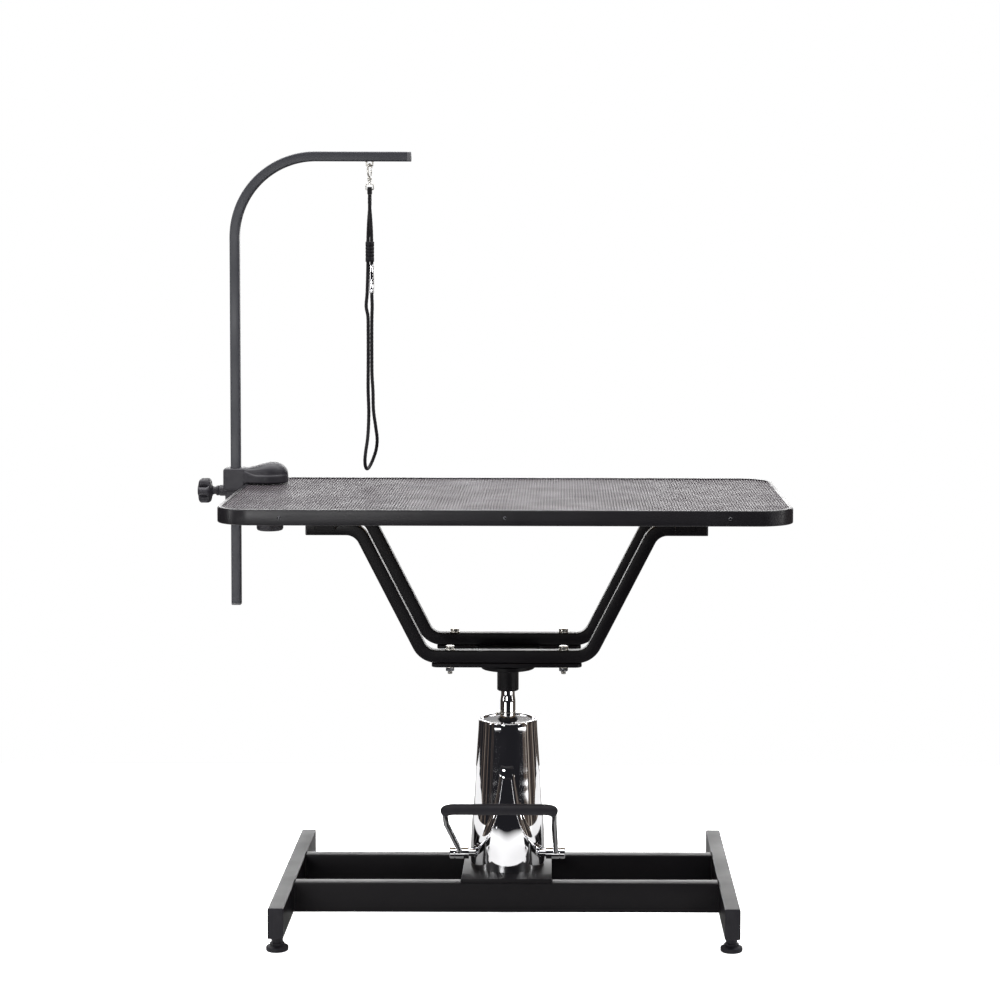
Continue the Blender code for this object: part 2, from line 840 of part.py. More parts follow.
def piston_rod(frame):
    profile = (
        (0, ROD_TOP),
        (ROD_NECK_RADIUS - 0.001, ROD_TOP),
        (ROD_NECK_RADIUS, ROD_TOP - 0.001),
        (ROD_NECK_RADIUS, 0.444),
        (ROD_RADIUS, 0.428),
        (ROD_RADIUS, ROD_BOTTOM),
        (0, ROD_BOTTOM),
    )
    turned_part("piston_rod", profile, chrome(), frame, (0, 0, 0))


def rod_clip(frame):
    """A wire ring round the rod with one straight tail."""
    radius = ROD_RADIUS + GAP + 0.0010
    points = [(-0.0230, -0.0150, 0), (-0.0095, -radius, 0)]
    for step in range(15):
        angle = -pi / 2 + radians(315) * step / 14
        points.append((radius * cos(angle), radius * sin(angle), 0))
    wire_part("rod_clip", points, CLIP_WIRE, zinc(), frame, (0, 0, CLIP_Z))


def build_piston():
    frame = joint_frame("column_lift", (0, 0, SHROUD_TOP), ROOT)
    piston_rod(frame)
    rod_clip(frame)
    return frame


# ---------------------------------------------------------------- hub, plate, frames and bolts

PLATE_TOP_Z = FRAME_LOW_Z - FRAME_TUBE / 2 - GAP
PLATE_LOW_Z = PLATE_TOP_Z - PLATE_THICKNESS


def table_hub(frame):
    bore = ROD_NECK_RADIUS + 0.0004
    profile = (
        (0, PLATE_LOW_Z - GAP),
        (FLANGE_RADIUS - 0.008, PLATE_LOW_Z - GAP),
        (FLANGE_RADIUS - 0.008, FLANGE_BOTTOM + FLANGE_RIM),
        (FLANGE_RADIUS, FLANGE_BOTTOM + FLANGE_RIM - 0.002),
        (FLANGE_RADIUS, FLANGE_BOTTOM + 0.001),
        (FLANGE_RADIUS - 0.001, FLANGE_BOTTOM),
        (HUB_RADIUS, FLANGE_BOTTOM),
        (HUB_RADIUS, HUB_BOTTOM + 0.002),
        (HUB_RADIUS - 0.002, HUB_BOTTOM),
        (bore, HUB_BOTTOM),
        (bore, ROD_TOP + 0.0005),
        (0, ROD_TOP + 0.0005),
    )
    turned_part("table_hub", profile, powder_coat(), frame, (0, 0, 0), 32)


def bolt_hole(name, sides, x, y):
    hole = cylinder_mesh(name, BOLT_RADIUS + 0.0004, 0.10, sides)
    return add_cutter(name, hole, (x, y, FRAME_LOW_Z))


def mount_plate(frame, holes):
    """Two straps under the frames' lower tubes, joined by a web over the hub."""
    inner, outer = FRAME_Y - PLATE_STRAP / 2, FRAME_Y + PLATE_STRAP / 2
    one = (
        (PLATE_WEB, inner - PLATE_NOTCH),
        (PLATE_WEB + PLATE_NOTCH, inner),
        (PLATE_HALF_LENGTH - PLATE_NOSE, inner),
        (PLATE_HALF_LENGTH, inner + PLATE_NOSE),
        (PLATE_HALF_LENGTH, outer - PLATE_NOSE),
        (PLATE_HALF_LENGTH - PLATE_NOSE, outer),
    )
    outline = [*one, *((-x, y) for x, y in reversed(one))]
    outline += [(-x, -y) for x, y in one] + [(x, -y) for x, y in reversed(one)]
    loops = [[(x, y, z) for x, y in outline] for z in (0, PLATE_THICKNESS)]
    plate = add_part("mount_plate", loft_mesh("mount_plate", loops), powder_coat(), frame,
                     (0, 0, PLATE_LOW_Z))
    for hole in holes:
        cut(plate, hole)


def support_frame(frame, name, y, holes):
    corners = (
        (-FRAME_END_X, FRAME_TOP_Z),
        (-FRAME_TOP_CORNER, FRAME_TOP_Z),
        (-FRAME_LOW_CORNER, FRAME_LOW_Z),
        (FRAME_LOW_CORNER, FRAME_LOW_Z),
        (FRAME_TOP_CORNER, FRAME_TOP_Z),
        (FRAME_END_X, FRAME_TOP_Z),
    )
    path = filleted(corners, FRAME_BEND, 3)
    mesh = swept_tube_mesh(name, path, FRAME_TUBE, FRAME_WALL)
    tube = smooth(add_part(name, mesh, powder_coat(), frame, (0, y, 0)))
    for hole in holes:
        cut(tube, hole)


def frame_plug(frame, name, side, y):
    mesh = plug_mesh(name, FRAME_TUBE, FRAME_TUBE, PLUG_FLANGE, FRAME_WALL)
    at = (side * (FRAME_END_X + GAP), y, FRAME_TOP_Z)
    add_part(name, mesh, moulded_plastic(), frame, at, (0, -side * pi / 2, 0))


def frame_bolt(frame, name, x, y):
    """A hexagon bolt down through the tube and the strap, with its nut below."""
    tube_top = FRAME_LOW_Z + FRAME_TUBE / 2 + GAP
    nut_top = PLATE_LOW_Z - GAP
    stations = (
        (nut_top - 0.0145, circle(BOLT_RADIUS - 0.0008)),
        (nut_top - 0.0135, circle(BOLT_RADIUS)),
        (nut_top - 0.0080, circle(BOLT_RADIUS)),
        (nut_top - 0.0079, hexagon(BOLT_HEXAGON)),
        (nut_top - 0.0001, hexagon(BOLT_HEXAGON)),
        (nut_top, circle(BOLT_RADIUS)),
        (tube_top, circle(BOLT_RADIUS)),
        (tube_top + 0.0001, hexagon(BOLT_HEXAGON)),
        (tube_top + 0.0068, hexagon(BOLT_HEXAGON)),
        (tube_top + 0.0076, hexagon(BOLT_HEXAGON - 0.002)),
    )
    smooth(add_part(name, stacked_mesh(name, stations, 12), zinc(), frame, (x, y, 0)))


def build_carrier(frame):
    table_hub(frame)
    all_holes = []
    for row, y in (("front", -FRAME_Y), ("rear", FRAME_Y)):
        holes = [bolt_hole(f"bolt_hole_{row}_{side}", 12, side * BOLT_X, y) for side in (-1, 1)]
        support_frame(frame, f"support_frame_{row}", y, holes)
        all_holes += holes
        for side_name, side in (("left", -1), ("right", 1)):
            frame_plug(frame, f"frame_plug_{row}_{side_name}", side, y)
            frame_bolt(frame, f"frame_bolt_{row}_{side_name}", side * BOLT_X, y)
    mount_plate(frame, all_holes)


# ---------------------------------------------------------------- table top

BAND_BOTTOM = TOP_HEIGHT - BAND_HEIGHT
MAT_TOP = TOP_HEIGHT - BAND_SHEET - GAP
MAT_LOW = MAT_TOP - MAT_THICKNESS
BOARD_TOP = MAT_LOW - GAP
BOARD_LOW = BAND_BOTTOM + BAND_SHEET + GAP
SCREW_Z = BAND_BOTTOM + BAND_HEIGHT / 2


def top_outline(inset, steps=6):
    radius = TOP_CORNER - inset
    return rounded_rectangle(TOP_LENGTH - 2 * inset, TOP_DEPTH - 2 * inset, radius, steps)


def slab(name, inset, low, high, material, frame):
    loops = [[(x, y, z) for x, y in top_outline(inset)] for z in (low, high)]
    return smooth(add_part(name, loft_mesh(name, loops), material, frame))


def edge_band(frame):
    """A channel bent round the top's edge, with a lip over the mat and one under the board."""
    section = (
        (0, BAND_BOTTOM),
        (0, TOP_HEIGHT - 0.0010),
        (0.0010, TOP_HEIGHT),
        (BAND_LIP, TOP_HEIGHT),
        (BAND_LIP, TOP_HEIGHT - BAND_SHEET),
        (BAND_SHEET, TOP_HEIGHT - BAND_SHEET),
        (BAND_SHEET, BAND_BOTTOM + BAND_SHEET),
        (BAND_FOOT_LIP, BAND_BOTTOM + BAND_SHEET),
        (BAND_FOOT_LIP, BAND_BOTTOM),
    )
    loops = [[(x, y, z) for x, y in top_outline(inset)] for inset, z in section]
    mesh = loft_mesh("edge_band", loops, ring=True)
    return smooth(add_part("edge_band", mesh, powder_coat(), frame))


def trim_screw(frame, name, x):
    """A pan-head screw through the band into the board, along Y."""
    profile = (
        (0, 0.0022),
        (0.0022, 0.0020),
        (TRIM_HEAD_RADIUS, 0.0008),
        (TRIM_HEAD_RADIUS, GAP),
        (TRIM_SHANK_RADIUS, GAP),
        (TRIM_SHANK_RADIUS, -0.0140),
        (0, -0.0160),
    )
    at = (x, -TOP_DEPTH / 2, SCREW_Z)
    turned_part(name, profile, black_screw(), frame, at, 16, turn=(pi / 2, 0, 0))


def table_bearer(frame, name, side):
    """A flat tube along Y between the support frames and the board."""
    low = FRAME_TOP_Z + FRAME_TUBE / 2 + GAP
    height = BAND_BOTTOM + BAND_SHEET - GAP - low
    mesh = straight_tube_mesh(name, BEARER_WIDTH, height, BEARER_WALL, BEARER_LENGTH, 0.002)
    at = (side * BEARER_X, 0, low + height / 2)
    smooth(add_part(name, mesh, powder_coat(), frame, at, (pi / 2, 0, 0)))


def build_top(frame):
    board = slab("table_board", BAND_SHEET + GAP, BOARD_LOW, BOARD_TOP, board_wood(), frame)
    slab("rubber_mat", BAND_SHEET + GAP, MAT_LOW, MAT_TOP, ribbed_rubber(), frame)
    band = edge_band(frame)
    for name, x in zip(("left", "middle", "right"), TRIM_SCREW_X):
        hole = cylinder_mesh("trim_hole", TRIM_SHANK_RADIUS + GAP, 0.040, 8)
        cutter = add_cutter(f"trim_hole_{name}", hole, (x, -TOP_DEPTH / 2, SCREW_Z), (pi / 2, 0, 0))
        cut(board, cutter)
        cut(band, cutter)
        trim_screw(frame, f"trim_screw_{name}", x)
    table_bearer(frame, "bearer_left", -1)
    table_bearer(frame, "bearer_right", 1)


# ---------------------------------------------------------------- clamp


def head_section(x, half_width, top):
    """A rounded cross-section of the clamp's upper jaw, flat underneath."""
    low = TOP_HEIGHT + GAP
    loop = [(x, half_width, low), (x, half_width, low + 0.010)]
    for step in range(1, 8):
        angle = pi * step / 8
        y = half_width * (1 if cos(angle) >= 0 else -1) * abs(cos(angle)) ** 0.55
        loop.append((x, y, low + 0.010 + (top - low - 0.010) * sin(angle) ** 0.55))
    loop += [(x, -half_width, low + 0.010), (x, -half_width, low)]
    return loop


def eased(t, low, high):
    """A value that leaves low and meets high smoothly as t runs from 0 to 1."""
    return low + (high - low) * t * t * (3 - 2 * t)


def head_mesh():
    loops = []
    start = -0.558
    for x in (start, -0.548, -0.536, -0.524, -0.512):
        top = eased((x - start) / (HUMP_X - start), SOCKET_TOP - 0.001, HUMP_TOP)
        half_width = eased((x - start) / (HEAD_CENTRE - start), SOCKET_HALF - 0.001, HEAD_RADIUS)
        loops.append(head_section(x, half_width, top))
    for degrees in (90, 72, 54, 38, 24, 12):
        angle = radians(degrees)
        x = HEAD_CENTRE + HEAD_RADIUS * cos(angle)
        past = max(0.0, (x - HUMP_X) / (HEAD_CENTRE + HEAD_RADIUS - HUMP_X))
        top = HEAD_SHOULDER + (HUMP_TOP - HEAD_SHOULDER) * sqrt(1 - past**2)
        loops.append(head_section(x, HEAD_RADIUS * sin(angle), top))
    return loft_mesh("clamp_head", loops)


def clamp_body(frame):
    column_width = SOCKET_RIGHT - COLUMN_LEFT
    column = box_mesh("clamp_body", (column_width, 2 * COLUMN_HALF, SOCKET_STEP + 0.005 - CLAMP_BOTTOM))
    middle = (CLAMP_BOTTOM + SOCKET_STEP + 0.005) / 2
    body = add_part("clamp_body", column, moulded_plastic(), frame,
                    ((SOCKET_RIGHT + COLUMN_LEFT) / 2, ARM_Y, middle))
    height = SOCKET_TOP - SOCKET_STEP
    socket = box_mesh("clamp_socket", (SOCKET_RIGHT - SOCKET_LEFT, 2 * SOCKET_HALF, height))
    place = ((SOCKET_RIGHT + SOCKET_LEFT) / 2, ARM_Y, SOCKET_STEP + height / 2)
    block = add_cutter("clamp_socket", socket, place)
    bevel(block, 0.003)
    cut(body, block, "UNION")
    cut(body, add_cutter("clamp_head", head_mesh(), (0, ARM_Y, 0)), "UNION")
    reach = LOWER_JAW_RADIUS
    outline = [(COLUMN_LEFT + 0.004, -COLUMN_HALF), (CLAMP_SCREW_X, -reach)]
    outline += [(CLAMP_SCREW_X + reach * sin(a), -reach * cos(a)) for a in
                (radians(30 * step) for step in range(1, 6))]
    outline += [(CLAMP_SCREW_X, reach), (COLUMN_LEFT + 0.004, COLUMN_HALF)]
    loops = [[(x, y, z) for x, y in outline] for z in (CLAMP_BOTTOM, CLAMP_BOTTOM + JAW_THICKNESS)]
    jaw = loft_mesh("clamp_lower_jaw", loops)
    cut(body, add_cutter("clamp_lower_jaw", jaw, (0, ARM_Y, -0.0002)), "UNION")
    boss = cylinder_mesh("lock_boss", LOCK_BOSS_RADIUS, 0.016, 20)
    cut(body, add_cutter("lock_boss", boss, (LOCK_BOSS_X, ARM_Y, LOCK_Z), (0, pi / 2, 0)), "UNION")
    hole = box_mesh("pole_hole", (ARM_TUBE + 0.0008, ARM_TUBE + 0.0008, 0.30))
    cut(body, add_cutter("pole_hole", hole, (ARM_X, ARM_Y, 0.83)))
    lock = cylinder_mesh("lock_hole", SCREW_RADIUS + 0.0004, 0.060, 16)
    cut(body, add_cutter("lock_hole", lock, (ARM_X - 0.030, ARM_Y, LOCK_Z), (0, pi / 2, 0)))
    screw = cylinder_mesh("screw_hole", SCREW_RADIUS + 0.0004, 0.060, 16)
    cut(body, add_cutter("screw_hole", screw, (CLAMP_SCREW_X, ARM_Y, CLAMP_BOTTOM)))


def clamp_screw(frame):
    """A pad that presses up under the top, and the hand screw that drives it."""
    pad_top = BAND_BOTTOM - GAP
    at = (CLAMP_SCREW_X, ARM_Y, 0)
    slide = joint_frame("clamp_pad_slide", at, frame)
    profile = (
        (0, pad_top),
        (PAD_RADIUS - 0.001, pad_top),
        (PAD_RADIUS, pad_top - 0.001),
        (PAD_RADIUS, pad_top - 0.010),
        (PAD_RADIUS - 0.007, pad_top - 0.013),
        (0, pad_top - 0.013),
    )
    turned_part("clamp_pad", profile, grip_rubber(), slide, at, 20)
    turn = joint_frame("clamp_knob_turn", at, slide)
    low = CLAMP_BOTTOM - 0.0245
    stations = (
        (low, circle(CLAMP_KNOB_RADIUS - 0.006)),
        (low + 0.003, lobed(CLAMP_KNOB_RADIUS - 0.001, 0.002, 8)),
        (low + 0.005, lobed(CLAMP_KNOB_RADIUS, 0.003, 8)),
        (low + 0.015, lobed(CLAMP_KNOB_RADIUS, 0.003, 8)),
        (low + 0.018, circle(0.014)),
        (low + 0.022, circle(0.010)),
        (low + 0.0221, circle(SCREW_RADIUS)),
        (pad_top - 0.0135, circle(SCREW_RADIUS)),
    )
    smooth(add_part("clamp_knob", stacked_mesh("clamp_knob", stations, 24), moulded_plastic(), turn, at))


def lock_screw(frame):
    """A brass shoe against the pole, and the star knob's screw behind it."""
    face = ARM_X - ARM_TUBE / 2 - GAP
    at = (face, ARM_Y, LOCK_Z)
    slide = joint_frame("lock_shoe_slide", at, frame)
    shoe = cylinder_mesh("lock_shoe", SCREW_RADIUS - 0.0002, 0.003)
    smooth(add_part("lock_shoe", shoe, brass(), slide, (face - 0.0015, ARM_Y, LOCK_Z), (0, pi / 2, 0)))
    turn = joint_frame("lock_knob_turn", at, slide)
    outside = face - LOCK_KNOB_LEFT
    stations = (
        (0.0033, circle(SCREW_RADIUS)),
        (0.0255, circle(SCREW_RADIUS)),
        (0.0256, circle(0.0105)),
        (0.0300, circle(0.0105)),
        (0.0320, circle(0.0080)),
        (outside - 0.0330, circle(0.0080)),
        (outside - 0.0290, circle(0.0130)),
        (outside - 0.0230, lobed(LOCK_KNOB_RADIUS - 0.0030, 0.0050, 6)),
        (outside - 0.0200, lobed(LOCK_KNOB_RADIUS, 0.0090, 6)),
        (outside - 0.0070, lobed(LOCK_KNOB_RADIUS, 0.0090, 6)),
        (outside - 0.0030, lobed(LOCK_KNOB_RADIUS - 0.0040, 0.0060, 6)),
        (outside, circle(0.0120)),
    )
    mesh = stacked_mesh("lock_knob", stations, 24)
    smooth(add_part("lock_knob", mesh, moulded_plastic(), turn, at, (0, -pi / 2, 0)))


def build_clamp(frame):
    clamp_body(frame)
    clamp_screw(frame)
    lock_screw(frame)


# ---------------------------------------------------------------- arm


def build_arm(table):
    frame = joint_frame("arm_height", (ARM_X, ARM_Y, SOCKET_TOP), table)
    corners = (
        (ARM_X, ARM_BOTTOM + ARM_BOTTOM_CAP + GAP),
        (ARM_X, ARM_TOP_Z),
        (ARM_END_X - ARM_TOP_CAP - GAP, ARM_TOP_Z),
    )
    mesh = swept_tube_mesh("arm_tube", filleted(corners, ARM_BEND, 12), ARM_TUBE, ARM_WALL)
    smooth(add_part("arm_tube", mesh, arm_coat(), frame, (0, ARM_Y, 0)))
    cap = plug_mesh("arm_cap_end", ARM_TUBE, ARM_TUBE, ARM_TOP_CAP, ARM_WALL)
    add_part("arm_cap_end", cap, grey_plastic(), frame, (ARM_END_X - ARM_TOP_CAP, ARM_Y, ARM_TOP_Z),
             (0, -pi / 2, 0))
    cap = plug_mesh("arm_cap_foot", ARM_TUBE, ARM_TUBE, ARM_BOTTOM_CAP, ARM_WALL)
    add_part("arm_cap_foot", cap, grey_plastic(), frame, (ARM_X, ARM_Y, ARM_BOTTOM + ARM_BOTTOM_CAP))
    arm_eye(frame)
    return frame


def arm_eye(frame):
    """A wire staple under the arm, whose bar carries the snap hook."""
    top = ARM_TOP_Z - ARM_TUBE / 2 - GAP - EYE_Z
    round_off = 0.003
    right = [(EYE_HALF, 0, top)]
    for step in range(4):
        angle = pi / 2 * step / 3
        x = EYE_HALF - round_off + round_off * cos(angle)
        right.append((x, 0, round_off - round_off * sin(angle)))
    left = [(-x, y, z) for x, y, z in reversed(right)]
    wire_part("arm_eye", right + left, EYE_WIRE, zinc(), frame, (NOOSE_X, ARM_Y, EYE_Z))


# ---------------------------------------------------------------- snap hook and noose


def snap_hook(frame):
    """A hook round the staple's bar, on a bored barrel that the swivel turns in."""
    top = EYE_WIRE + GAP + HOOK_WIRE
    centre = top - HOOK_ARC
    points = [(0, 0, -0.0235), (-0.0050, 0, -0.0200), (-HOOK_ARC, 0, -0.0130)]
    for step in range(9):
        angle = pi - pi * 1.06 * step / 8
        points.append((HOOK_ARC * cos(angle), 0, centre + HOOK_ARC * sin(angle)))
    turn = Matrix.Rotation(pi / 2 - HOOK_TURN, 3, "Z")
    points = [turn @ Vector(point) for point in points]
    wire = wire_part("snap_hook", points, HOOK_WIRE, zinc(), frame, (NOOSE_X, ARM_Y, EYE_Z))
    hook = smooth(curve_to_mesh(wire), 50)
    barrel = cylinder_mesh("hook_barrel", BARREL_RADIUS, 0.0085, 16)
    cut(hook, add_cutter("hook_barrel", barrel, (NOOSE_X, ARM_Y, EYE_Z - 0.0275)), "UNION")
    bore = cylinder_mesh("hook_bore", 0.0024, 0.0070, 12)
    cut(hook, add_cutter("hook_bore", bore, (NOOSE_X, ARM_Y, EYE_Z - 0.0302)))


def hook_gate(frame):
    """The spring gate that closes the hook's mouth."""
    turn = Matrix.Rotation(pi / 2 - HOOK_TURN, 3, "Z")
    hinge = Vector((0.0052, 0, -0.0205))
    base = Vector((NOOSE_X, ARM_Y, EYE_Z)) + turn @ hinge
    pivot = joint_frame("gate_hinge", base, frame)
    path = [(0, 0, 0), (0.0010, 0, 0.0050), (0.0016, 0, 0.0135)]
    path = [turn @ Vector(point) for point in path]
    wire_part("hook_gate", path, 0.0014, zinc(), pivot, base)


def swivel_eye(frame):
    """A stem that turns in the hook's barrel, with a wide wire loop below it."""
    height = SWIVEL_TOP_Z - SWIVEL_BAR_Z
    outline = rounded_rectangle(2 * SWIVEL_HALF, height, 0.003, 3)
    points = [(x, 0, y + height / 2) for x, y in outline]
    at = (NOOSE_X, ARM_Y, SWIVEL_BAR_Z)
    wire = wire_part("swivel_eye", points, SWIVEL_WIRE, zinc(), frame, at, closed=True)
    loop = smooth(curve_to_mesh(wire), 50)
    low, high = SWIVEL_TOP_Z - 0.0004, EYE_Z - 0.0276
    stem = cylinder_mesh("swivel_stem", 0.0019, high - low, 12)
    cut(loop, add_cutter("swivel_stem", stem, (NOOSE_X, ARM_Y, (low + high) / 2)), "UNION")


def noose_end(frame):
    """The sewn end that holds both strands and hangs on the swivel's bar."""
    low = CORD_ROUTE[0][2] + GAP
    sections = ((low, 0.0090, 0.0150), (low + 0.001, 0.0098, 0.0158), (1.4645, 0.0098, 0.0158),
                (1.4672, 0.0080, 0.0120))
    loops = [[(x, y, z) for x, y in rounded_rectangle(w, d, min(w, d) / 2 - 0.0002, 3)]
             for z, w, d in sections]
    mesh = loft_mesh("noose_end", loops)
    end = add_part("noose_end", mesh, braided_cord(), frame, (NOOSE_X, ARM_Y, 0))
    hole = cylinder_mesh("bar_hole", SWIVEL_WIRE + 0.0004, 0.03, 12)
    place = (NOOSE_X, ARM_Y, SWIVEL_BAR_Z)
    cut(end, add_cutter("bar_hole", hole, place, (0, pi / 2, 0)))


def noose_cord(frame):
    route = smooth_route(CORD_ROUTE, 2)
    wire_part("noose_cord", route, CORD_RADIUS, braided_cord(), frame, (NOOSE_X, ARM_Y, 0))


def noose_keeper(frame):
    at = (NOOSE_X, ARM_Y, 0)
    slide = joint_frame("keeper_slide", at, frame)
    profile = (
        (KEEPER_BORE, KEEPER_TOP),
        (KEEPER_RADIUS - 0.0005, KEEPER_TOP),
        (KEEPER_RADIUS, KEEPER_TOP - 0.001),
        (KEEPER_RADIUS, KEEPER_BOTTOM + 0.001),
        (KEEPER_RADIUS - 0.0005, KEEPER_BOTTOM),
        (KEEPER_BORE, KEEPER_BOTTOM),
    )
    turned_part("noose_keeper", profile, grip_rubber(), slide, at, 20, True)


def noose_ferrule(frame):
    bore = CORD_RADIUS + 0.0004
    at = (NOOSE_X + FERRULE_OFFSET, ARM_Y, 0)
    profile = (
        (bore, FERRULE_TOP), (FERRULE_RADIUS, FERRULE_TOP),
        (FERRULE_RADIUS, FERRULE_BOTTOM), (bore, FERRULE_BOTTOM),
    )
    turned_part("noose_ferrule", profile, chrome(), frame, at, 16, True)


def build_noose(arm):
    swing = joint_frame("hook_swing", (NOOSE_X, ARM_Y, EYE_Z), arm)
    snap_hook(swing)
    hook_gate(swing)
    swivel = joint_frame("noose_swivel", (NOOSE_X, ARM_Y, EYE_Z - 0.030), swing)
    swivel_eye(swivel)
    noose_end(swivel)
    noose_cord(swivel)
    noose_keeper(swivel)
    noose_ferrule(swivel)


# ---------------------------------------------------------------- the whole table


def build_table():
    build_base()
    build_pump()
    build_pedal()
    table = joint_frame("top_swivel", (0, 0, HUB_BOTTOM), build_piston())
    build_carrier(table)
    build_top(table)
    build_clamp(table)
    build_noose(build_arm(table))


build_table()
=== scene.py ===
"""The looks of a hydraulic grooming table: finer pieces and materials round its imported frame.

Lengths are in metres and +Z is up. Places come from the boxes of the frame's own nodes. The
driving dimensions below repeat the thicknesses, bends and routes that a box doesn't tell.
"""

import json
from math import atan2, cos, pi, radians, sin, sqrt, tan

import bmesh
import bpy
from mathutils import Matrix, Vector


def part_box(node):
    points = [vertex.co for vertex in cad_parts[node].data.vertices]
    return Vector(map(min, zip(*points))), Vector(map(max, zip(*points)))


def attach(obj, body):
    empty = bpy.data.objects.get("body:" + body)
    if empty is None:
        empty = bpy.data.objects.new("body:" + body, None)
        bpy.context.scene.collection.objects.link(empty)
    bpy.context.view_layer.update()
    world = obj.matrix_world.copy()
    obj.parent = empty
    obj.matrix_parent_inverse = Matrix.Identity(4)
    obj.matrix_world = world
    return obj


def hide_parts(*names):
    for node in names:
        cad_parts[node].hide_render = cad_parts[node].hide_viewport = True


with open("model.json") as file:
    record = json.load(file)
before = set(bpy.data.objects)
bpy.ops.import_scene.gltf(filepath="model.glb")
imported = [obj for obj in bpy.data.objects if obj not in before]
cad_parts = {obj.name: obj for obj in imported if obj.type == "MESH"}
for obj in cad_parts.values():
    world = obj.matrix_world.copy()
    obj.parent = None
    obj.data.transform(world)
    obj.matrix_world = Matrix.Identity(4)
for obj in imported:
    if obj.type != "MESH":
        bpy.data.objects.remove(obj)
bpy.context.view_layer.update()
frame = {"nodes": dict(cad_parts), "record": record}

ALONG_X, ALONG_Y, ALONG_Z = (1, 0, 0), (0, 1, 0), (0, 0, 1)
SIDES = {"left": -1, "right": 1}
ENDS = {"front": -1, "rear": 1}
GAP = 0.0003
STRAND = 0.0037
CORD_RADIUS = 0.0035
CORD_ROUTE = (
    (0.0, -STRAND, 1.4517), (0.0, -STRAND, 1.430), (0.0025, -0.0027, 1.395),
    (STRAND, 0.0, 1.360), (0.0039, 0.0, 1.312), (0.0039, 0.0, 1.265),
    (0.0040, 0.0, 1.242), (0.0047, 0.0, 1.220), (0.0040, 0.0, 1.198),
    (STRAND, 0.0, 1.165), (STRAND, 0.0, 1.115), (0.0040, 0.0, 1.078),
    (0.0060, -0.0008, 1.043), (0.0070, -0.0015, 1.0035), (0.0114, 0.0002, 0.9685),
    (0.0140, 0.0062, 0.942), (0.0114, 0.0133, 0.920), (0.0060, 0.0168, 0.9028),
    (0.0010, 0.0155, 0.8905), (-0.0030, 0.0098, 0.8828), (-0.0060, 0.0008, 0.8800),
    (-0.0081, -0.0082, 0.8827), (-0.0095, -0.0144, 0.8905), (-0.0096, -0.0166, 0.9028),
    (-0.0079, -0.0146, 0.9199), (-0.0050, -0.0087, 0.942), (-0.0035, -0.0019, 0.9685),
    (-0.0030, 0.0015, 1.0035), (-0.0042, 0.0011, 1.043), (-0.0040, 0.0, 1.078),
    (-STRAND, 0.0, 1.115), (-STRAND, 0.0, 1.165), (-0.0042, 0.0, 1.198),
    (-0.0078, 0.0, 1.220), (-0.0056, 0.0, 1.250), (-0.0039, 0.0, 1.314),
    (-STRAND, 0.0, 1.360), (-0.0025, 0.0027, 1.395), (0.0, STRAND, 1.430),
    (0.0, STRAND, 1.4517),
)


class Box:
    """A CAD node's box at rest, with its middle and its size."""

    def __init__(self, node):
        self.node = node
        self.low, self.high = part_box(node)
        self.mid = (self.low + self.high) / 2
        self.size = self.high - self.low

    def at(self, **moved):
        """The box's middle, with some of its coordinates replaced."""
        return Vector([moved.get(axis, getattr(self.mid, axis)) for axis in "xyz"])


# --- materials


class Nodes:
    """Adds nodes to a tree. A plain value is set on a socket, and another socket is linked to it."""

    def __init__(self, tree, space):
        self.tree = tree
        self.place = tree.nodes.new("ShaderNodeTexCoord").outputs[space]
        self.axes = self.node("ShaderNodeSeparateXYZ", {"Vector": self.place}).outputs

    def node(self, kind, inputs, **settings):
        node = self.tree.nodes.new(kind)
        for setting, value in settings.items():
            setattr(node, setting, value)
        for socket, value in inputs.items():
            self.feed(node.inputs[socket], value)
        return node

    def feed(self, socket, value):
        if isinstance(value, bpy.types.NodeSocket):
            self.tree.links.new(value, socket)
        else:
            socket.default_value = value

    def noise(self, scale, detail, stretch=(1, 1, 1)):
        """Cloudy values about 0.5. A stretch below 1 draws the cloud out along that axis."""
        mapping = self.node("ShaderNodeMapping", {"Vector": self.place, "Scale": stretch})
        inputs = {"Vector": mapping.outputs[0], "Scale": scale, "Detail": detail}
        return self.node("ShaderNodeTexNoise", inputs).outputs["Fac"]

    def spots(self, scale):
        inputs = {"Vector": self.place, "Scale": scale}
        return self.node("ShaderNodeTexVoronoi", inputs).outputs["Distance"]

    def spread(self, value, low, high, to_low, to_high, **settings):
        """The value's range from low to high, stretched to another range and clamped there."""
        inputs = {"Value": value, "From Min": low, "From Max": high, "To Min": to_low, "To Max": to_high}
        return self.node("ShaderNodeMapRange", inputs, **settings).outputs["Result"]

    def maths(self, operation, first, second=0.0):
        return self.node("ShaderNodeMath", {0: first, 1: second}, operation=operation).outputs[0]

    def product(self, first, *others):
        for value in others:
            first = self.maths("MULTIPLY", first, value)
        return first

    def blend(self, factor, first, second):
        """The first colour or texture where the factor is 0, and the second colour where it is 1."""
        mix = self.node("ShaderNodeMix", {"Factor": factor}, data_type="RGBA")
        sockets = {s.name: s for s in (*mix.inputs, *mix.outputs) if s.enabled}
        self.feed(sockets["A"], first if isinstance(first, bpy.types.NodeSocket) else (*first, 1))
        self.feed(sockets["B"], (*second, 1))
        return sockets["Result"]

    def camera_ray(self):
        return self.node("ShaderNodeLightPath", {}).outputs["Is Camera Ray"]


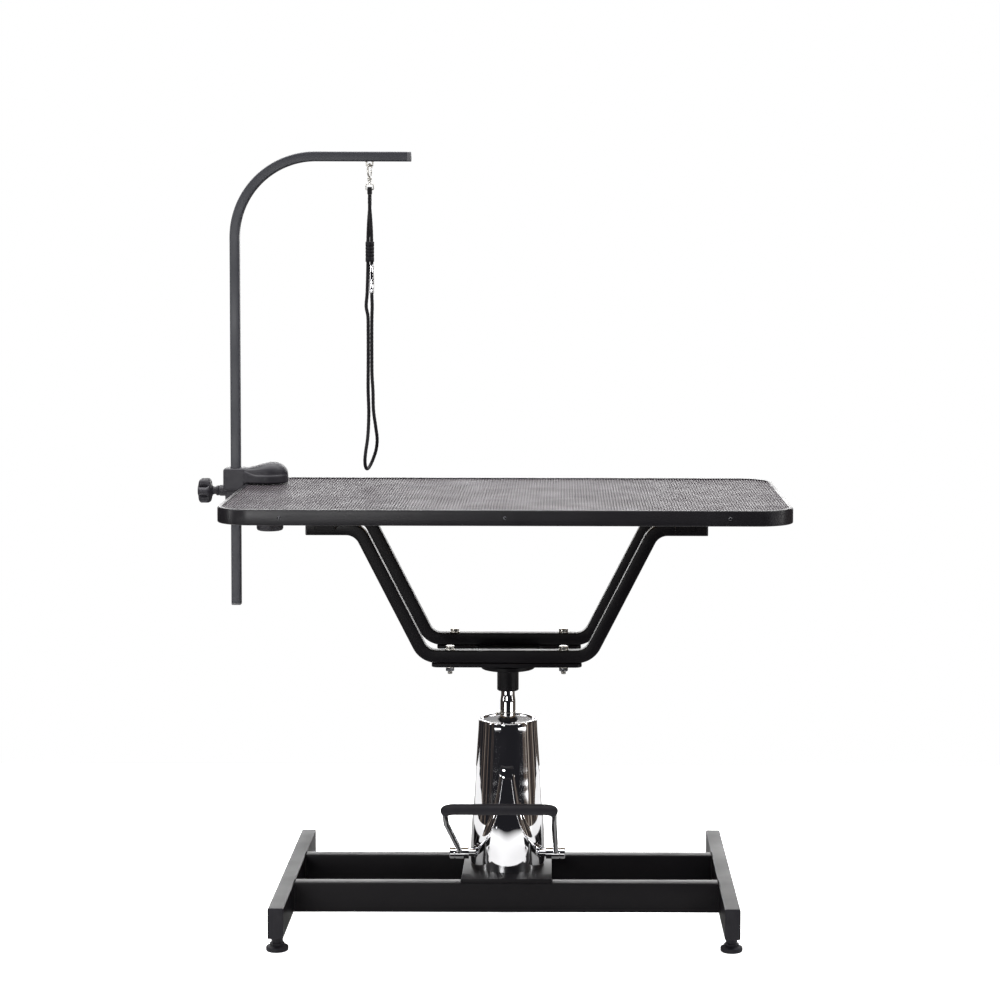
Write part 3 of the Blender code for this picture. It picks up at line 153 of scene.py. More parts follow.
class Finish(Nodes):
    """One procedural material. Its plain numbers sit on the shader, and textures are linked to it."""

    def __init__(self, name, **sockets):
        self.material = bpy.data.materials.new(name)
        self.material.use_nodes = True
        super().__init__(self.material.node_tree, "Object")
        self.shader = self.tree.nodes["Principled BSDF"]
        for socket, value in sockets.items():
            self.shader.inputs[socket.replace("_", " ")].default_value = value

    def colour(self, value):
        self.tone = value
        self.feed(self.shader.inputs["Base Color"], value)

    def overlay_colour(self, factor, colour):
        """Lays another colour over the present one where the factor is over 0."""
        self.colour(self.blend(factor, self.tone, colour))
        return self

    def roughness(self, value):
        self.feed(self.shader.inputs["Roughness"], value)

    def bump(self, height, depth):
        """A relief of that depth in metres."""
        inputs = {"Height": height, "Distance": depth, "Strength": 1.0}
        self.feed(self.shader.inputs["Normal"], self.node("ShaderNodeBump", inputs).outputs["Normal"])


def mottled(name, mottle, tones, patches, roughness, grain, depth, edges=(0.3, 0.7), **sockets):
    """A finish with a mottle between two tones, patches of roughness, and a fine relief.

    Mottle, patches and grain say which noise is used. A plain number as grain asks for spots instead.
    """
    finish = Finish(name, **sockets)
    finish.colour(finish.blend(finish.noise(*mottle), *tones))
    finish.roughness(finish.spread(finish.noise(*patches), *edges, *roughness))
    finish.bump(finish.noise(*grain) if isinstance(grain, tuple) else finish.spots(grain), depth)
    return finish


FINISHES = {
    "powder_coat": mottled(
        "satin_powder_coat", (14, 4), ((0.0040, 0.0034, 0.0044), (0.0062, 0.0055, 0.0068)),
        (9, 5), (0.30, 0.42), (750, 2), 0.00003, Specular_IOR_Level=0.13),
    "edge_coat": mottled(
        "satin_edge_trim", (20, 4), ((0.008, 0.007, 0.009), (0.013, 0.012, 0.015)),
        (11, 5), (0.28, 0.38), (900, 2), 0.00002, Specular_IOR_Level=0.36),
    "arm_coat": mottled(
        "fine_grey_coat", (30, 4), ((0.036, 0.037, 0.046), (0.048, 0.050, 0.060)),
        (12, 5), (0.36, 0.48), (1500, 2), 0.00003, Specular_IOR_Level=0.5),
    "chrome": mottled(
        "polished_chrome", (6, 3), ((0.74, 0.74, 0.76), (0.82, 0.82, 0.83)),
        (7, 6), (0.030, 0.085), (260, 2, (1, 1, 0.03)), 0.000002, (0.45, 0.75), Metallic=1.0),
    "machined_steel": mottled(
        "turned_steel", (25, 4), ((0.36, 0.36, 0.37), (0.50, 0.50, 0.51)),
        (420, 2, (0.05, 0.05, 1)), (0.26, 0.42), (420, 2, (0.05, 0.05, 1)), 0.00001, Metallic=1.0),
    "zinc": mottled(
        "zinc_plate", (160, 4), ((0.60, 0.59, 0.56), (0.76, 0.74, 0.69)),
        (300, 4), (0.20, 0.36), (1400, 2), 0.00001, Metallic=1.0),
    "black_screw": mottled(
        "black_nickel", (500, 4), ((0.050, 0.050, 0.055), (0.130, 0.130, 0.140)),
        (400, 3), (0.14, 0.26), (2500, 2), 0.00001, Metallic=0.9),
    "ribbed_rubber": mottled(
        "ribbed_mat_rubber", (5, 5), ((0.038, 0.030, 0.037), (0.060, 0.049, 0.057)),
        (16, 6), (0.40, 0.52), (1300, 3), 0.00005,
        Specular_IOR_Level=0.10, Sheen_Weight=0.06, Sheen_Roughness=0.45),
    "black_rubber": mottled(
        "smooth_black_rubber", (60, 4), ((0.006, 0.0055, 0.008), (0.011, 0.010, 0.014)),
        (45, 4), (0.46, 0.62), (1800, 3), 0.00003, Specular_IOR_Level=0.22),
    "moulded_plastic": mottled(
        "grained_nylon", (40, 3), ((0.023, 0.022, 0.027), (0.034, 0.032, 0.039)),
        (70, 3), (0.38, 0.50), 1100, 0.00006, Specular_IOR_Level=0.35),
    "grey_plastic": mottled(
        "grey_moulded_plastic", (120, 3), ((0.12, 0.12, 0.13), (0.18, 0.18, 0.19)),
        (90, 3), (0.42, 0.55), 1500, 0.00003, Specular_IOR_Level=0.5),
    "board_wood": mottled(
        "pressed_board", (90, 6, (0.25, 1, 1)), ((0.30, 0.20, 0.12), (0.56, 0.42, 0.28)),
        (90, 6, (0.25, 1, 1)), (0.70, 0.85), (420, 4, (0.3, 1, 1)), 0.0001, Specular_IOR_Level=0.3),
    "brass": mottled(
        "turned_brass", (200, 3), ((0.66, 0.46, 0.20), (0.82, 0.62, 0.32)),
        (350, 3), (0.24, 0.40), (900, 2), 0.00001, Metallic=1.0),
    "braided_cord": mottled(
        "braided_nylon", (700, 4), ((0.004, 0.0035, 0.005), (0.013, 0.012, 0.015)),
        (900, 3), (0.62, 0.80), (2600, 3), 0.00008,
        Specular_IOR_Level=0.25, Sheen_Weight=0.25, Sheen_Roughness=0.4),
}
SLOT_OF = {part["node"]: part["material_slot"] for part in frame["record"]["subparts"]}
BODIES = frame["record"]["behaviour"]["bodies"]
BODY_OF = {node: body for body, nodes in BODIES.items() for node in nodes}


def tint_zinc_and_shade_mat():
    """Yellow tints on the zinc, and painted shade: the mat darkens in the valleys between its ribs."""
    zinc, rubber = FINISHES["zinc"], FINISHES["ribbed_rubber"]
    zinc.overlay_colour(zinc.spread(zinc.noise(60, 3), 0.55, 0.8, 0, 0.5), (0.62, 0.52, 0.36))
    crest = Box("rubber_mat").high.z
    # painted shade: the mat's colour turns nearly black in the valleys below its rib crests
    painted_valley_shade = rubber.spread(rubber.axes["Z"], crest - 0.0012, crest - 0.0003, 0.85, 0)
    rubber.overlay_colour(painted_valley_shade, (0.006, 0.005, 0.006))


def wear(obj, slot):
    """Puts a slot's finish on an object, in place of any other."""
    obj.data.materials.clear()
    obj.data.materials.append(FINISHES[slot].material)


def dress_frame():
    """Gives every CAD node its slot's material, also those that a finer piece will stand for."""
    for node, obj in frame["nodes"].items():
        wear(obj, SLOT_OF[node])


# --- outlines and paths


def arc(radius, start, end, steps, x=0.0, y=0.0, tall=None):
    """Points on an arc about a centre, or on an ellipse's if its other radius is given."""
    angles = [start + (end - start) * step / steps for step in range(steps + 1)]
    return [(x + radius * cos(a), y + (tall or radius) * sin(a)) for a in angles]


def circle(radius, sides):
    return arc(radius, 0, 2 * pi, sides)[:-1]


def rounded(width, depth, radius, steps=4):
    """A rectangle about the origin with round corners."""
    points = []
    for quarter, (sign_x, sign_y) in enumerate(((1, 1), (-1, 1), (-1, -1), (1, -1))):
        x, y = sign_x * (width / 2 - radius), sign_y * (depth / 2 - radius)
        points += arc(radius, pi / 2 * quarter, pi / 2 * (quarter + 1), steps, x, y)
    return points


def level(points, z):
    """Flat points lifted to a height."""
    return [(x, y, z) for x, y in points]


def round_path(corners, radius, steps):
    """A path of 3D points with each inner corner rounded to the radius."""
    corners = [Vector(corner) for corner in corners]
    path = [corners[0]]
    for before, corner, after in zip(corners, corners[1:], corners[2:]):
        back, on = (before - corner).normalized(), (after - corner).normalized()
        half = back.angle(on) / 2
        centre = corner + (back + on).normalized() * radius / sin(half)
        start = corner + back * radius / tan(half) - centre
        axis = start.cross(corner + on * radius / tan(half) - centre)
        for step in range(steps + 1):
            path.append(centre + Matrix.Rotation((pi - 2 * half) * step / steps, 3, axis) @ start)
    path.append(corners[-1])
    return path


def eased(t, low, high):
    """A value that leaves low and meets high smoothly as t runs from 0 to 1."""
    return low + (high - low) * t * t * (3 - 2 * t)


def catmull(p0, p1, p2, p3, t):
    """A value or a point between p1 and p2 on the smooth curve through all four."""
    bend = (2 * p0 - 5 * p1 + 4 * p2 - p3) * t**2 + (3 * p1 - p0 - 3 * p2 + p3) * t**3
    return 0.5 * (2 * p1 + (p2 - p0) * t + bend)


def smooth_route(points, samples):
    points = [Vector(point) for point in points]
    padded = [2 * points[0] - points[1], *points, 2 * points[-1] - points[-2]]
    quads = zip(padded, padded[1:], padded[2:], padded[3:])
    return [catmull(*quad, step / samples) for quad in quads for step in range(samples)] + [points[-1]]


def resampled(path, spacing):
    """The same line again, with its points about that far apart."""
    route = [path[0]]
    for near, far in zip(path, path[1:]):
        count = max(1, round((far - near).length / spacing))
        route += [near.lerp(far, step / count) for step in range(1, count + 1)]
    return route


def aim(point, direction=ALONG_Z, spin=0.0):
    """Puts a shape made along +Z at a point, along a direction."""
    turn = Vector(direction).to_track_quat("Z", "Y").to_matrix().to_4x4()
    return Matrix.Translation(point) @ turn @ Matrix.Rotation(spin, 4, "Z")


def inward(radius, steps, start=0.0, sign=1):
    """(radius, height) points, told by how far each stands in and how far it is from a start."""
    return [(radius - depth, start + sign * z) for depth, z in steps]


def ridged(radius, start, count):
    """The profile of a thread drawn as turned ridges."""
    return [(radius - (0.0006 if i % 2 else 0), start + i * THREAD_PITCH / 2) for i in range(count)]


# --- solids

WELD_PITCH = 0.0021
THREAD_PITCH = 0.0015
SCREW_RADIUS = 0.005


class Solid:
    """A mesh built up from closed forms. Each method adds one and returns the solid."""

    def __init__(self):
        self.bm = bmesh.new()

    def skin(self, loops, ring=False, place=Matrix()):
        """A skin through loops of points, closed by caps, or joined end to end as a ring."""
        rows = [[self.bm.verts.new(place @ Vector(point)) for point in loop] for loop in loops]
        pairs = list(zip(rows, rows[1:]))
        if ring:
            pairs.append((rows[-1], rows[0]))
        else:
            self.bm.faces.new(rows[0])
            self.bm.faces.new(rows[-1])
        for near, far in pairs:
            for i in range(len(near)):
                j = (i + 1) % len(near)
                self.bm.faces.new((near[i], near[j], far[j], far[i]))
        return self

    def turned(self, profile, place=Matrix(), steps=48, outline=None, ring=False):
        """A profile of (radius, height) points turned about Z. An outline scales its radius by angle."""
        angles = [2 * pi * i / steps for i in range(steps)]
        loops = []
        for radius, z in profile:
            radii = [radius * (outline(a, z) if outline else 1) for a in angles]
            loops.append([(r * cos(a), r * sin(a), z) for r, a in zip(radii, angles)])
        return self.skin(loops, ring, place)

    def stack(self, stations, place=Matrix()):
        """A form through flat outlines, given as (height, points) stations along Z."""
        return self.skin([level(points, z) for z, points in stations], False, place)

    def sweep(self, path, section, ring=False, side=ALONG_Y, size=None):
        """A section of (u, v) points carried along a path, with v held towards side at the start."""
        return self.skin(swept(path, section, ring, side, size), ring)

    def block(self, size, edge, place=Matrix(), segments=3):
        """A box about the origin with rounded edges."""
        made = bmesh.ops.create_cube(self.bm, size=1.0)["verts"]
        bmesh.ops.scale(self.bm, vec=size, verts=made)
        edges = {e for v in made for e in v.link_edges}
        result = bmesh.ops.bevel(self.bm, geom=[*made, *edges], offset=edge, segments=segments,
                                 profile=0.5, affect="EDGES")
        bmesh.ops.transform(self.bm, matrix=place, verts=result["verts"])
        return self

    def weld(self, start, end, radius=0.0022):
        """A weld bead: a thin run of overlapping ripples between two points."""
        start, end = Vector(start), Vector(end)
        count = max(8, round((end - start).length / WELD_PITCH) * 4)

        def ripple(t):
            rounding = min(1.0, 0.35 + 12 * min(t, 1 - t))
            return rounding * (1 + 0.16 * cos(2 * pi * t * count / 4))

        path = [start.lerp(end, i / count) for i in range(count + 1)]
        return self.sweep(path, circle(radius, 10), side=(0.3, 0.5, 0.8), size=ripple)

    def tube(self, width, depth, wall, length, place, edge):
        """An open tube along Z."""
        outer, inner = tube_sections(width, depth, wall, edge)
        half = length / 2
        loops = [level(outer, -half), level(outer, half), level(inner, half), level(inner, -half)]
        return self.skin(loops, True, place)

    def bent_tube(self, path, width, wall, edge):
        """An open square tube along a path: its outer skin, then its inner one back again."""
        outer, inner = (swept(path, section) for section in tube_sections(width, width, wall, edge))
        return self.skin(outer + inner[::-1], True)

    def thread(self, start, end, place):
        """A clamp screw along Z, with turned ridges between two heights."""
        ridges = max(2, round((end - start) / (THREAD_PITCH / 2)))
        profile = []
        for i in range(ridges + 1):
            dip = 0.0007 if i % 2 or i in (0, ridges) else 0.0
            profile.append((SCREW_RADIUS - dip, start + (end - start) * i / ridges))
        return self.turned(profile, place, 24)

    def mesh(self, name):
        bmesh.ops.recalc_face_normals(self.bm, faces=self.bm.faces)
        mesh = bpy.data.meshes.new(name)
        self.bm.to_mesh(mesh)
        self.bm.free()
        return mesh


def tube_sections(width, depth, wall, edge):
    inside, inner_edge = 2 * wall, max(edge - wall, 0.0008)
    return rounded(width, depth, edge), rounded(width - inside, depth - inside, inner_edge)


def swept(path, section, ring=False, side=ALONG_Y, size=None):
    """The loops of a section carried along a path."""
    path = [Vector(point) for point in path]
    loops, across, last = [], Vector(side), len(path) - 1
    for i, point in enumerate(path):
        before = path[i - 1] if i or ring else path[0]
        after = path[(i + 1) % len(path)] if i < last or ring else path[last]
        along = (after - before).normalized()
        across = (across - along * across.dot(along)).normalized()
        out = across.cross(along)
        scale = size(i / last) if size else 1.0
        loops.append([point + (out * u + across * v) * scale for u, v in section])
    return loops


# --- pieces


def shown(name, mesh):
    obj = bpy.data.objects.new(name, mesh)
    bpy.context.scene.collection.objects.link(obj)
    return obj


def shade(obj, sharp):
    """Smooth shading, with edges kept sharp where the surface turns by more degrees than that."""
    obj.data.shade_smooth()
    obj.data.set_sharp_from_angle(angle=radians(sharp))


def piece(name, solid, like, replaces=(), sharp=38):
    """Shows a solid that rides and is finished like one CAD node, and may stand for some."""
    obj = shown(name, solid.mesh(name))
    wear(obj, SLOT_OF[like])
    shade(obj, sharp)
    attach(obj, BODY_OF[like])
    if replaces:
        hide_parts(*replaces)
    return obj


def stand_in(node, solid, sharp=38):
    """A finer piece for one CAD node."""
    return piece(f"{node}_fine", solid, node, (node,), sharp)


def refinish(obj, slot):
    """Gives a piece another slot's finish than that of the node it is like."""
    wear(obj, slot)


def carve(obj, solid, operation="DIFFERENCE"):
    """Cuts a shape out of a piece, or unites it with the piece, and keeps the result."""
    cutter = shown("cutter", solid.mesh("cutter"))
    modifier = obj.modifiers.new("carve", "BOOLEAN")
    modifier.object = cutter
    modifier.operation = operation
    modifier.solver = "EXACT"
    keep_modifiers(obj)
    bpy.data.objects.remove(cutter, do_unlink=True)


def drill(obj, radius, low, high, place, steps):
    """Bores a round hole between two heights of a placed axis."""
    carve(obj, Solid().turned(((radius, low), (radius, high)), place, steps))


def keep_modifiers(obj):
    """Makes the piece's modifiers part of its mesh."""
    bpy.context.view_layer.update()
    evaluated = obj.evaluated_get(bpy.context.evaluated_depsgraph_get())
    mesh = bpy.data.meshes.new_from_object(evaluated)
    obj.modifiers.clear()
    obj.data = mesh


# --- noose

HOOK_EYE = Box("arm_eye")
NOOSE_AT = HOOK_EYE.at(z=0)


def braid(angle, along):
    """The relief of a braid of eight crossing strands, as a share of the cord's radius."""
    twist = 2 * pi * along / 0.0085
    return 1 + 0.055 * max(cos(4 * (angle + twist / 4)), cos(4 * (angle - twist / 4)))


def noose_cord():
    """The noose's cord, from one sewn end down round the loop and back to the other."""
    path = resampled([NOOSE_AT + point for point in smooth_route(CORD_ROUTE, 6)], 0.0008)
    angles = [2 * pi * k / 20 for k in range(20)]
    core = CORD_RADIUS * 0.985
    loops = []
    across, along = Vector(ALONG_Y), 0.0
    for i, point in enumerate(path):
        before, after = path[max(i - 1, 0)], path[min(i + 1, len(path) - 1)]
        direction = (after - before).normalized()
        across = (across - direction * across.dot(direction)).normalized()
        out = across.cross(direction)
        along += (point - before).length
        loops.append([point + (out * cos(a) + across * sin(a)) * core * braid(a, along) for a in angles])
    stand_in("noose_cord", Solid().skin(loops))


# --- base

TUBE_EDGE = 0.0030
TUBE_WALL = 0.0020
FOOT_SCREW = 0.0050
CAP_PLAY = 0.0004


def moulded_cap(width, depth, wall, place, rim, insert, *tip):
    """A tube cap along Z: its rim below the origin, and a plug that fits the tube above it.

    Rim and tip are (height, narrowing, corner radius) stations, the tip's narrower than the plug.
    """
    inside = 2 * (wall + CAP_PLAY)
    stations = [*rim, (0, inside, 0.0016), (insert, inside, 0.0016)]
    stations += [(z, inside + narrower, radius) for z, narrower, radius in tip]
    return Solid().stack([
        (z, rounded(width - narrower, depth - narrower, radius)) for z, narrower, radius in stations
    ], place)


def frame_cap(width, depth, flange, place):
    """A cap for the base's and the carrier's tubes."""
    rim = ((-flange, 0.0024, 0.0022), (-flange + 0.0007, 0.0006, 0.0027),
           (-flange + 0.0012, 0, TUBE_EDGE), (0, 0, TUBE_EDGE))
    return moulded_cap(width, depth, TUBE_WALL, place, rim, 0.012, (0.013, 0.001, 0.0014))


def base_bar(side):
    bar = Box(f"base_bar_{side}")
    tube = Solid().tube(bar.size.x, bar.size.z, TUBE_WALL, bar.size.y, aim(bar.mid, ALONG_Y), TUBE_EDGE)
    made = stand_in(bar.node, tube)
    for end, outward in ENDS.items():
        foot, plug = Box(f"foot_{side}_{end}"), Box(f"bar_plug_{side}_{end}")
        drill(made, FOOT_SCREW + 0.0005, -0.01, 0.01, aim(foot.at(z=bar.low.z)), 24)
        root, face = (bar.low.y, plug.low.y) if outward < 0 else (bar.high.y, plug.high.y)
        place = aim(plug.at(y=root + outward * GAP), (0, -outward, 0))
        cap = frame_cap(bar.size.x, bar.size.z, abs(face - root) - GAP, place)
        refinish(stand_in(plug.node, cap), "black_rubber")


def base_rail(end):
    rail = Box(f"base_rail_{end}")
    place = aim(rail.mid, ALONG_X)
    solid = Solid().tube(rail.size.y, rail.size.z, TUBE_WALL, rail.size.x, place, TUBE_EDGE)
    reach = TUBE_EDGE * 0.4
    for x in (rail.low.x, rail.high.x):
        for y in (rail.low.y, rail.high.y):
            solid.weld((x, y, rail.low.z + 0.004), (x, y, rail.high.z - 0.004))
        for z in (rail.low.z + reach, rail.high.z - reach):
            solid.weld((x, rail.low.y + 0.003, z), (x, rail.high.y - 0.003, z), 0.0018)
    stand_in(rail.node, solid)


def levelling_foot(name):
    """A ribbed rubber foot with a hexagon to turn it by and a threaded stem."""
    foot = Box(name)
    radius, bar_low = foot.size.x / 2, Box("base_bar_left").low.z
    place = aim(foot.at(z=0))

    def grip(angle, z):
        return 1 - 0.018 * (0.5 + 0.5 * cos(18 * angle)) if 0.0025 < z < 0.0080 else 1

    pad = inward(radius, ((0.0030, 0.0), (0.0012, 0.0005), (0.0003, 0.0015), (0, 0.0027), (0, 0.0075),
                          (0.0006, 0.0086), (0.0030, 0.0098)))
    collar = ((0.0112, 0.0165), (0.0112, bar_low - GAP - 0.001), (0.0104, bar_low - GAP))
    thread = ridged(FOOT_SCREW, bar_low - 0.002, 56)
    corner, tip = circle(0.0141, 6), circle(0.0141 * 0.9, 6)
    solid = Solid().turned([*pad, (0.0150, 0.0112)], place, 72, grip)
    solid.stack(((0.0100, corner), (0.0160, corner), (0.0168, tip)), place)
    stand_in(name, solid.turned(collar, place, 36).turned(thread, place, 20))


def pump_base_plate():
    plate = Box("pump_base_plate")
    solid = Solid().block(plate.size, 0.0012, aim(plate.mid))
    z = plate.low.z + 0.0012
    for end in ENDS:
        y = Box(f"base_rail_{end}").mid.y
        for x in (plate.low.x, plate.high.x):
            solid.weld((x, y - 0.011, z), (x, y + 0.011, z), 0.0020)
    stand_in(plate.node, solid)


# --- pump

PUMP_AT = Box("pump_cylinder").at(z=0)
SHROUD = Box("pump_shroud")
ROD = Box("piston_rod")
ROD_RADIUS = ROD.size.x / 2
NECK_RADIUS = ROD_RADIUS - 0.0015
SHAFT = Box("pedal_shaft")
COLLAR_RADIUS = SHAFT.size.z / 2
PIVOT = Vector((PUMP_AT.x, SHAFT.high.y - COLLAR_RADIUS, SHAFT.mid.z))
SHROUD_SHEET = 0.0016
SHROUD_LEDGE = 0.2925
RIM_RADIUS = 0.0588
RIM_FOLD = 0.0032
CROWN_SHARE = 0.86

# (height, main radius, the nose's half width, how far its front stands from the axis)
SHROUD_FORM = (
    (0.0976, 0.0755, 0.0705, 0.0756), (0.110, 0.0754, 0.0703, 0.0758), (0.122, 0.0753, 0.0698, 0.0760),
    (0.140, 0.0748, 0.0650, 0.0762), (0.160, 0.0741, 0.0545, 0.0762), (0.190, 0.0723, 0.0400, 0.0750),
    (0.221, 0.0691, 0.0288, 0.0728), (0.260, 0.0666, 0.0205, 0.0700), (0.292, 0.0646, 0.0150, 0.0678),
    (0.340, 0.0616, 0.0140, 0.0), (0.386, RIM_RADIUS, 0.0140, 0.0),
)


def shroud_form(z):
    """The shroud's radius, nose width and nose front at a height, eased between the stations."""
    last = len(SHROUD_FORM) - 2
    i = next((k for k in range(last + 1) if z <= SHROUD_FORM[k + 1][0]), last)
    around = [SHROUD_FORM[k] for k in (max(i - 1, 0), i, i + 1, min(i + 2, last + 1))]
    t = (z - around[1][0]) / (around[2][0] - around[1][0])
    columns = [[station[k] for station in around] for k in (1, 2, 3)]
    return [catmull(*c, t) if c[1] and c[2] and c[3] else c[1] + (c[2] - c[1]) * t for c in columns]


def shroud_ring(z, inset=0.0, nose_up=True):
    """One ring: the round body, with the nose's narrower arc standing forward between two creases."""
    radius, half_width, front = shroud_form(z)
    edge = sqrt(radius**2 - half_width**2)
    rise = (max(front, radius) if nose_up else radius) - edge
    nose = (half_width**2 + rise**2) / (2 * rise)
    centre = edge + rise - nose
    half_angle = atan2(half_width, edge - centre)
    flat = max(0.0, min(1.0, (z - 0.125) / 0.080)) if front > radius else 0.0
    points = []
    for step in range(24):
        turn = step / 12 - 1
        angle = half_angle * turn
        round_nose = Vector(((nose - inset) * sin(angle), -centre - (nose - inset) * cos(angle)))
        share = sin(pi / 2 * turn)
        flat_nose = Vector(((half_width - inset) * share, inset - edge - rise * (1 - abs(share) ** 4)))
        points.append(round_nose.lerp(flat_nose, flat))
    start = atan2(half_width, edge) - pi / 2
    points += arc(radius - inset, start, 3 / 2 * pi - atan2(half_width, edge), 96)[:-1]
    return [PUMP_AT + Vector((x, y, z)) for x, y in points]


def pump_shroud():
    """A sheet shell with a folded rim, a shallow crown sunk inside it, and holes for the pedal's axle."""
    top, low = SHROUD.high.z, SHROUD.low.z
    above, fold = SHROUD_LEDGE + 0.006, top - RIM_FOLD
    gland = 0.0206 / RIM_RADIUS
    loops = [shroud_ring(low + (SHROUD_LEDGE - low) * i / 44) for i in range(45)]
    loops += [shroud_ring(above + (fold - above) * i / 14, 0, False) for i in range(15)]
    rim = [point - PUMP_AT for point in loops[-1]]

    def shrunk(share, z):
        return [PUMP_AT + Vector((p.x * share, p.y * share, z)) for p in rim]

    for angle in (radians(degrees) for degrees in (20, 42, 66, 90)):
        loops.append(shrunk(1 - 0.0024 * (1 - cos(angle)) / RIM_RADIUS, fold + RIM_FOLD * sin(angle)))
    for share, sunk in ((0.92, 0.0), (0.90, 0.0004), (0.885, 0.0022), (CROWN_SHARE, 0.0030)):
        loops.append(shrunk(share, top - sunk))
    for step in range(1, 13):
        share = CROWN_SHARE + (gland - CROWN_SHARE) * step / 12
        loops.append(shrunk(share, top - 0.0006 * (share / CROWN_SHARE) ** 2 - 0.0020))
    loops.append(shrunk(gland, top - 0.0030))
    loops += [shroud_ring(z, SHROUD_SHEET, False) for z in (top - 0.0045, SHROUD_LEDGE + 0.004)]
    below = SHROUD_LEDGE - 0.002 - low
    loops += [shroud_ring(low + below * i / 8, SHROUD_SHEET) for i in range(8, -1, -1)]
    shroud = stand_in(SHROUD.node, Solid().skin(loops, True), 30)
    for side in (-1, 1):
        drill(shroud, 0.0092, -0.02, 0.02, aim(PIVOT + Vector((side * 0.070, 0, 0)), ALONG_X), 40)


def pump_gland():
    gland = Box("pump_gland")
    bore, radius, low, top = ROD_RADIUS + 0.0004, gland.size.x / 2, gland.low.z, gland.high.z
    profile = (
        (bore, low), (radius, low), (radius, top - 0.0055), (radius - 0.0005, top - 0.0045),
        (radius - 0.0010, top - 0.0012), (radius - 0.0016, top - 0.0002), (bore + 0.0014, top),
        (bore + 0.0006, top - 0.0012), (bore, top - 0.0030),
    )
    stand_in(gland.node, Solid().turned(profile, aim(PUMP_AT), 64, ring=True))


def piston_rod():
    """The rod, whose shoulder runs smoothly into the thinner neck that the hub sits on."""
    foot, top = 0.428, 0.444
    profile = [(ROD_RADIUS, ROD.low.z)]
    for t in (step / 6 for step in range(7)):
        profile.append((eased(t, ROD_RADIUS, NECK_RADIUS), foot + (top - foot) * t))
    profile += [(NECK_RADIUS, ROD.high.z - 0.001), (NECK_RADIUS - 0.001, ROD.high.z)]
    stand_in(ROD.node, Solid().turned(profile, aim(PUMP_AT), 96))


def rod_clip():
    """A wire clip: a straight tail, then most of a turn round the rod."""
    clip = Box("rod_clip")
    radius = ROD_RADIUS + GAP + 0.0010
    path = [(-0.0230, -0.0150, 0.0004), (-0.0170, -0.0162, 0), (-0.0095, -radius, 0), (-0.0030, -radius, 0)]
    path += level(arc(radius, -pi / 2, -pi / 2 + radians(315), 40), 0)
    path = [PUMP_AT + Vector((x, y, clip.mid.z + z)) for x, y, z in path]
    stand_in(clip.node, Solid().sweep(path, circle(0.0009, 12), side=ALONG_Z))


# --- pedal

PEDAL_WIRE = 0.0055
PEDAL_RISE = radians(30.5)
PEDAL_REACH = 0.296
PEDAL_CORNER = 0.020
PEDAL_ROOT_X = 0.097
PEDAL_TREAD_X = 0.1045
PEDAL_SHIFT = -0.010
PEDAL_FORWARD = Vector((0, -cos(PEDAL_RISE), sin(PEDAL_RISE)))
GRIP_STEP = 0.002


def pedal_path():
    """The pedal wire's centreline from one collar round the tread to the other."""
    right, left = (
        [(side * PEDAL_ROOT_X, 0), (side * PEDAL_ROOT_X, 0.03), (PEDAL_SHIFT + side * PEDAL_TREAD_X, 0.20),
         (PEDAL_SHIFT + side * PEDAL_TREAD_X, PEDAL_REACH)] for side in (1, -1))
    places = [PIVOT + Vector((x, 0, 0)) + PEDAL_FORWARD * reach for x, reach in right + left[::-1]]
    return places[:2] + round_path(places[2:6], PEDAL_CORNER, 12) + places[6:]


def pedal_bar():
    stand_in("pedal_bar", Solid().sweep(pedal_path(), circle(PEDAL_WIRE, 24), side=ALONG_Z))


def pedal_grip():
    """A rubber sleeve over the tread that runs a little way round both of its corners."""
    start = PEDAL_REACH - PEDAL_CORNER * 0.85
    path = resampled(pedal_path(), GRIP_STEP)
    covered = [point for point in path if (point - PIVOT).dot(PEDAL_FORWARD) > start]

    def swell(t):
        edge = min(t, 1 - t) * (len(covered) - 1) * GRIP_STEP
        return sqrt(max(0.0, 1 - (1 - min(1.0, edge / 0.004)) ** 2)) * 0.42 + 0.58

    grip = Box("pedal_grip")
    stand_in(grip.node, Solid().sweep(covered, circle(grip.size.z / 2, 28), side=ALONG_Z, size=swell))


def pedal_shaft():
    """The chrome axle with a collar at each side that takes the pedal wire, and the pump's lever."""
    axle, end, start = 0.008, SHAFT.size.x / 2, 0.0772
    collar = inward(COLLAR_RADIUS, (
        (0.0008, start), (0, start + 0.0008), (0, end - 0.0120), (0.0009, end - 0.0112),
        (0.0009, end - 0.0100), (0, end - 0.0092), (0, end - 0.0012), (0.0012, end)))
    profile = [(r, -x) for r, x in reversed(collar)] + [(axle, -start), (axle, start)] + collar
    shaft = stand_in(SHAFT.node, Solid().turned(profile, aim(PIVOT, ALONG_X)))
    lever = aim(PIVOT - Vector((0, 0.012, 0)))
    carve(shaft, Solid().block((0.012, 0.024, 0.008), 0.0015, lever), "UNION")
    for side in (-1, 1):
        place = aim(PIVOT + Vector((side * PEDAL_ROOT_X, 0, 0)), PEDAL_FORWARD)
        drill(shaft, PEDAL_WIRE + 0.0005, -0.006, 0.034, place, 32)


# --- frames, plate, hub and bolts

FRAME_TUBE = 0.025
FRAME_BEND = 0.040
FRAME_TOP_CORNER = 0.2914
FRAME_LOW_CORNER = 0.162
CAP_FLANGE = 0.003
BOLT_RADIUS = 0.0050
BOLT_HOLE = 0.0054
PLATE = Box("mount_plate")


def frame_path(tube):
    """The centreline of a support frame: flat ends under the top, two legs, and the low run."""
    high, low = tube.high.z - FRAME_TUBE / 2, tube.low.z + FRAME_TUBE / 2
    right = [(FRAME_LOW_CORNER, low), (FRAME_TOP_CORNER, high), (tube.size.x / 2, high)]
    corners = [tube.at(x=tube.mid.x - x, z=z) for x, z in reversed(right)]
    return round_path(corners + [tube.at(x=tube.mid.x + x, z=z) for x, z in right], FRAME_BEND, 14)


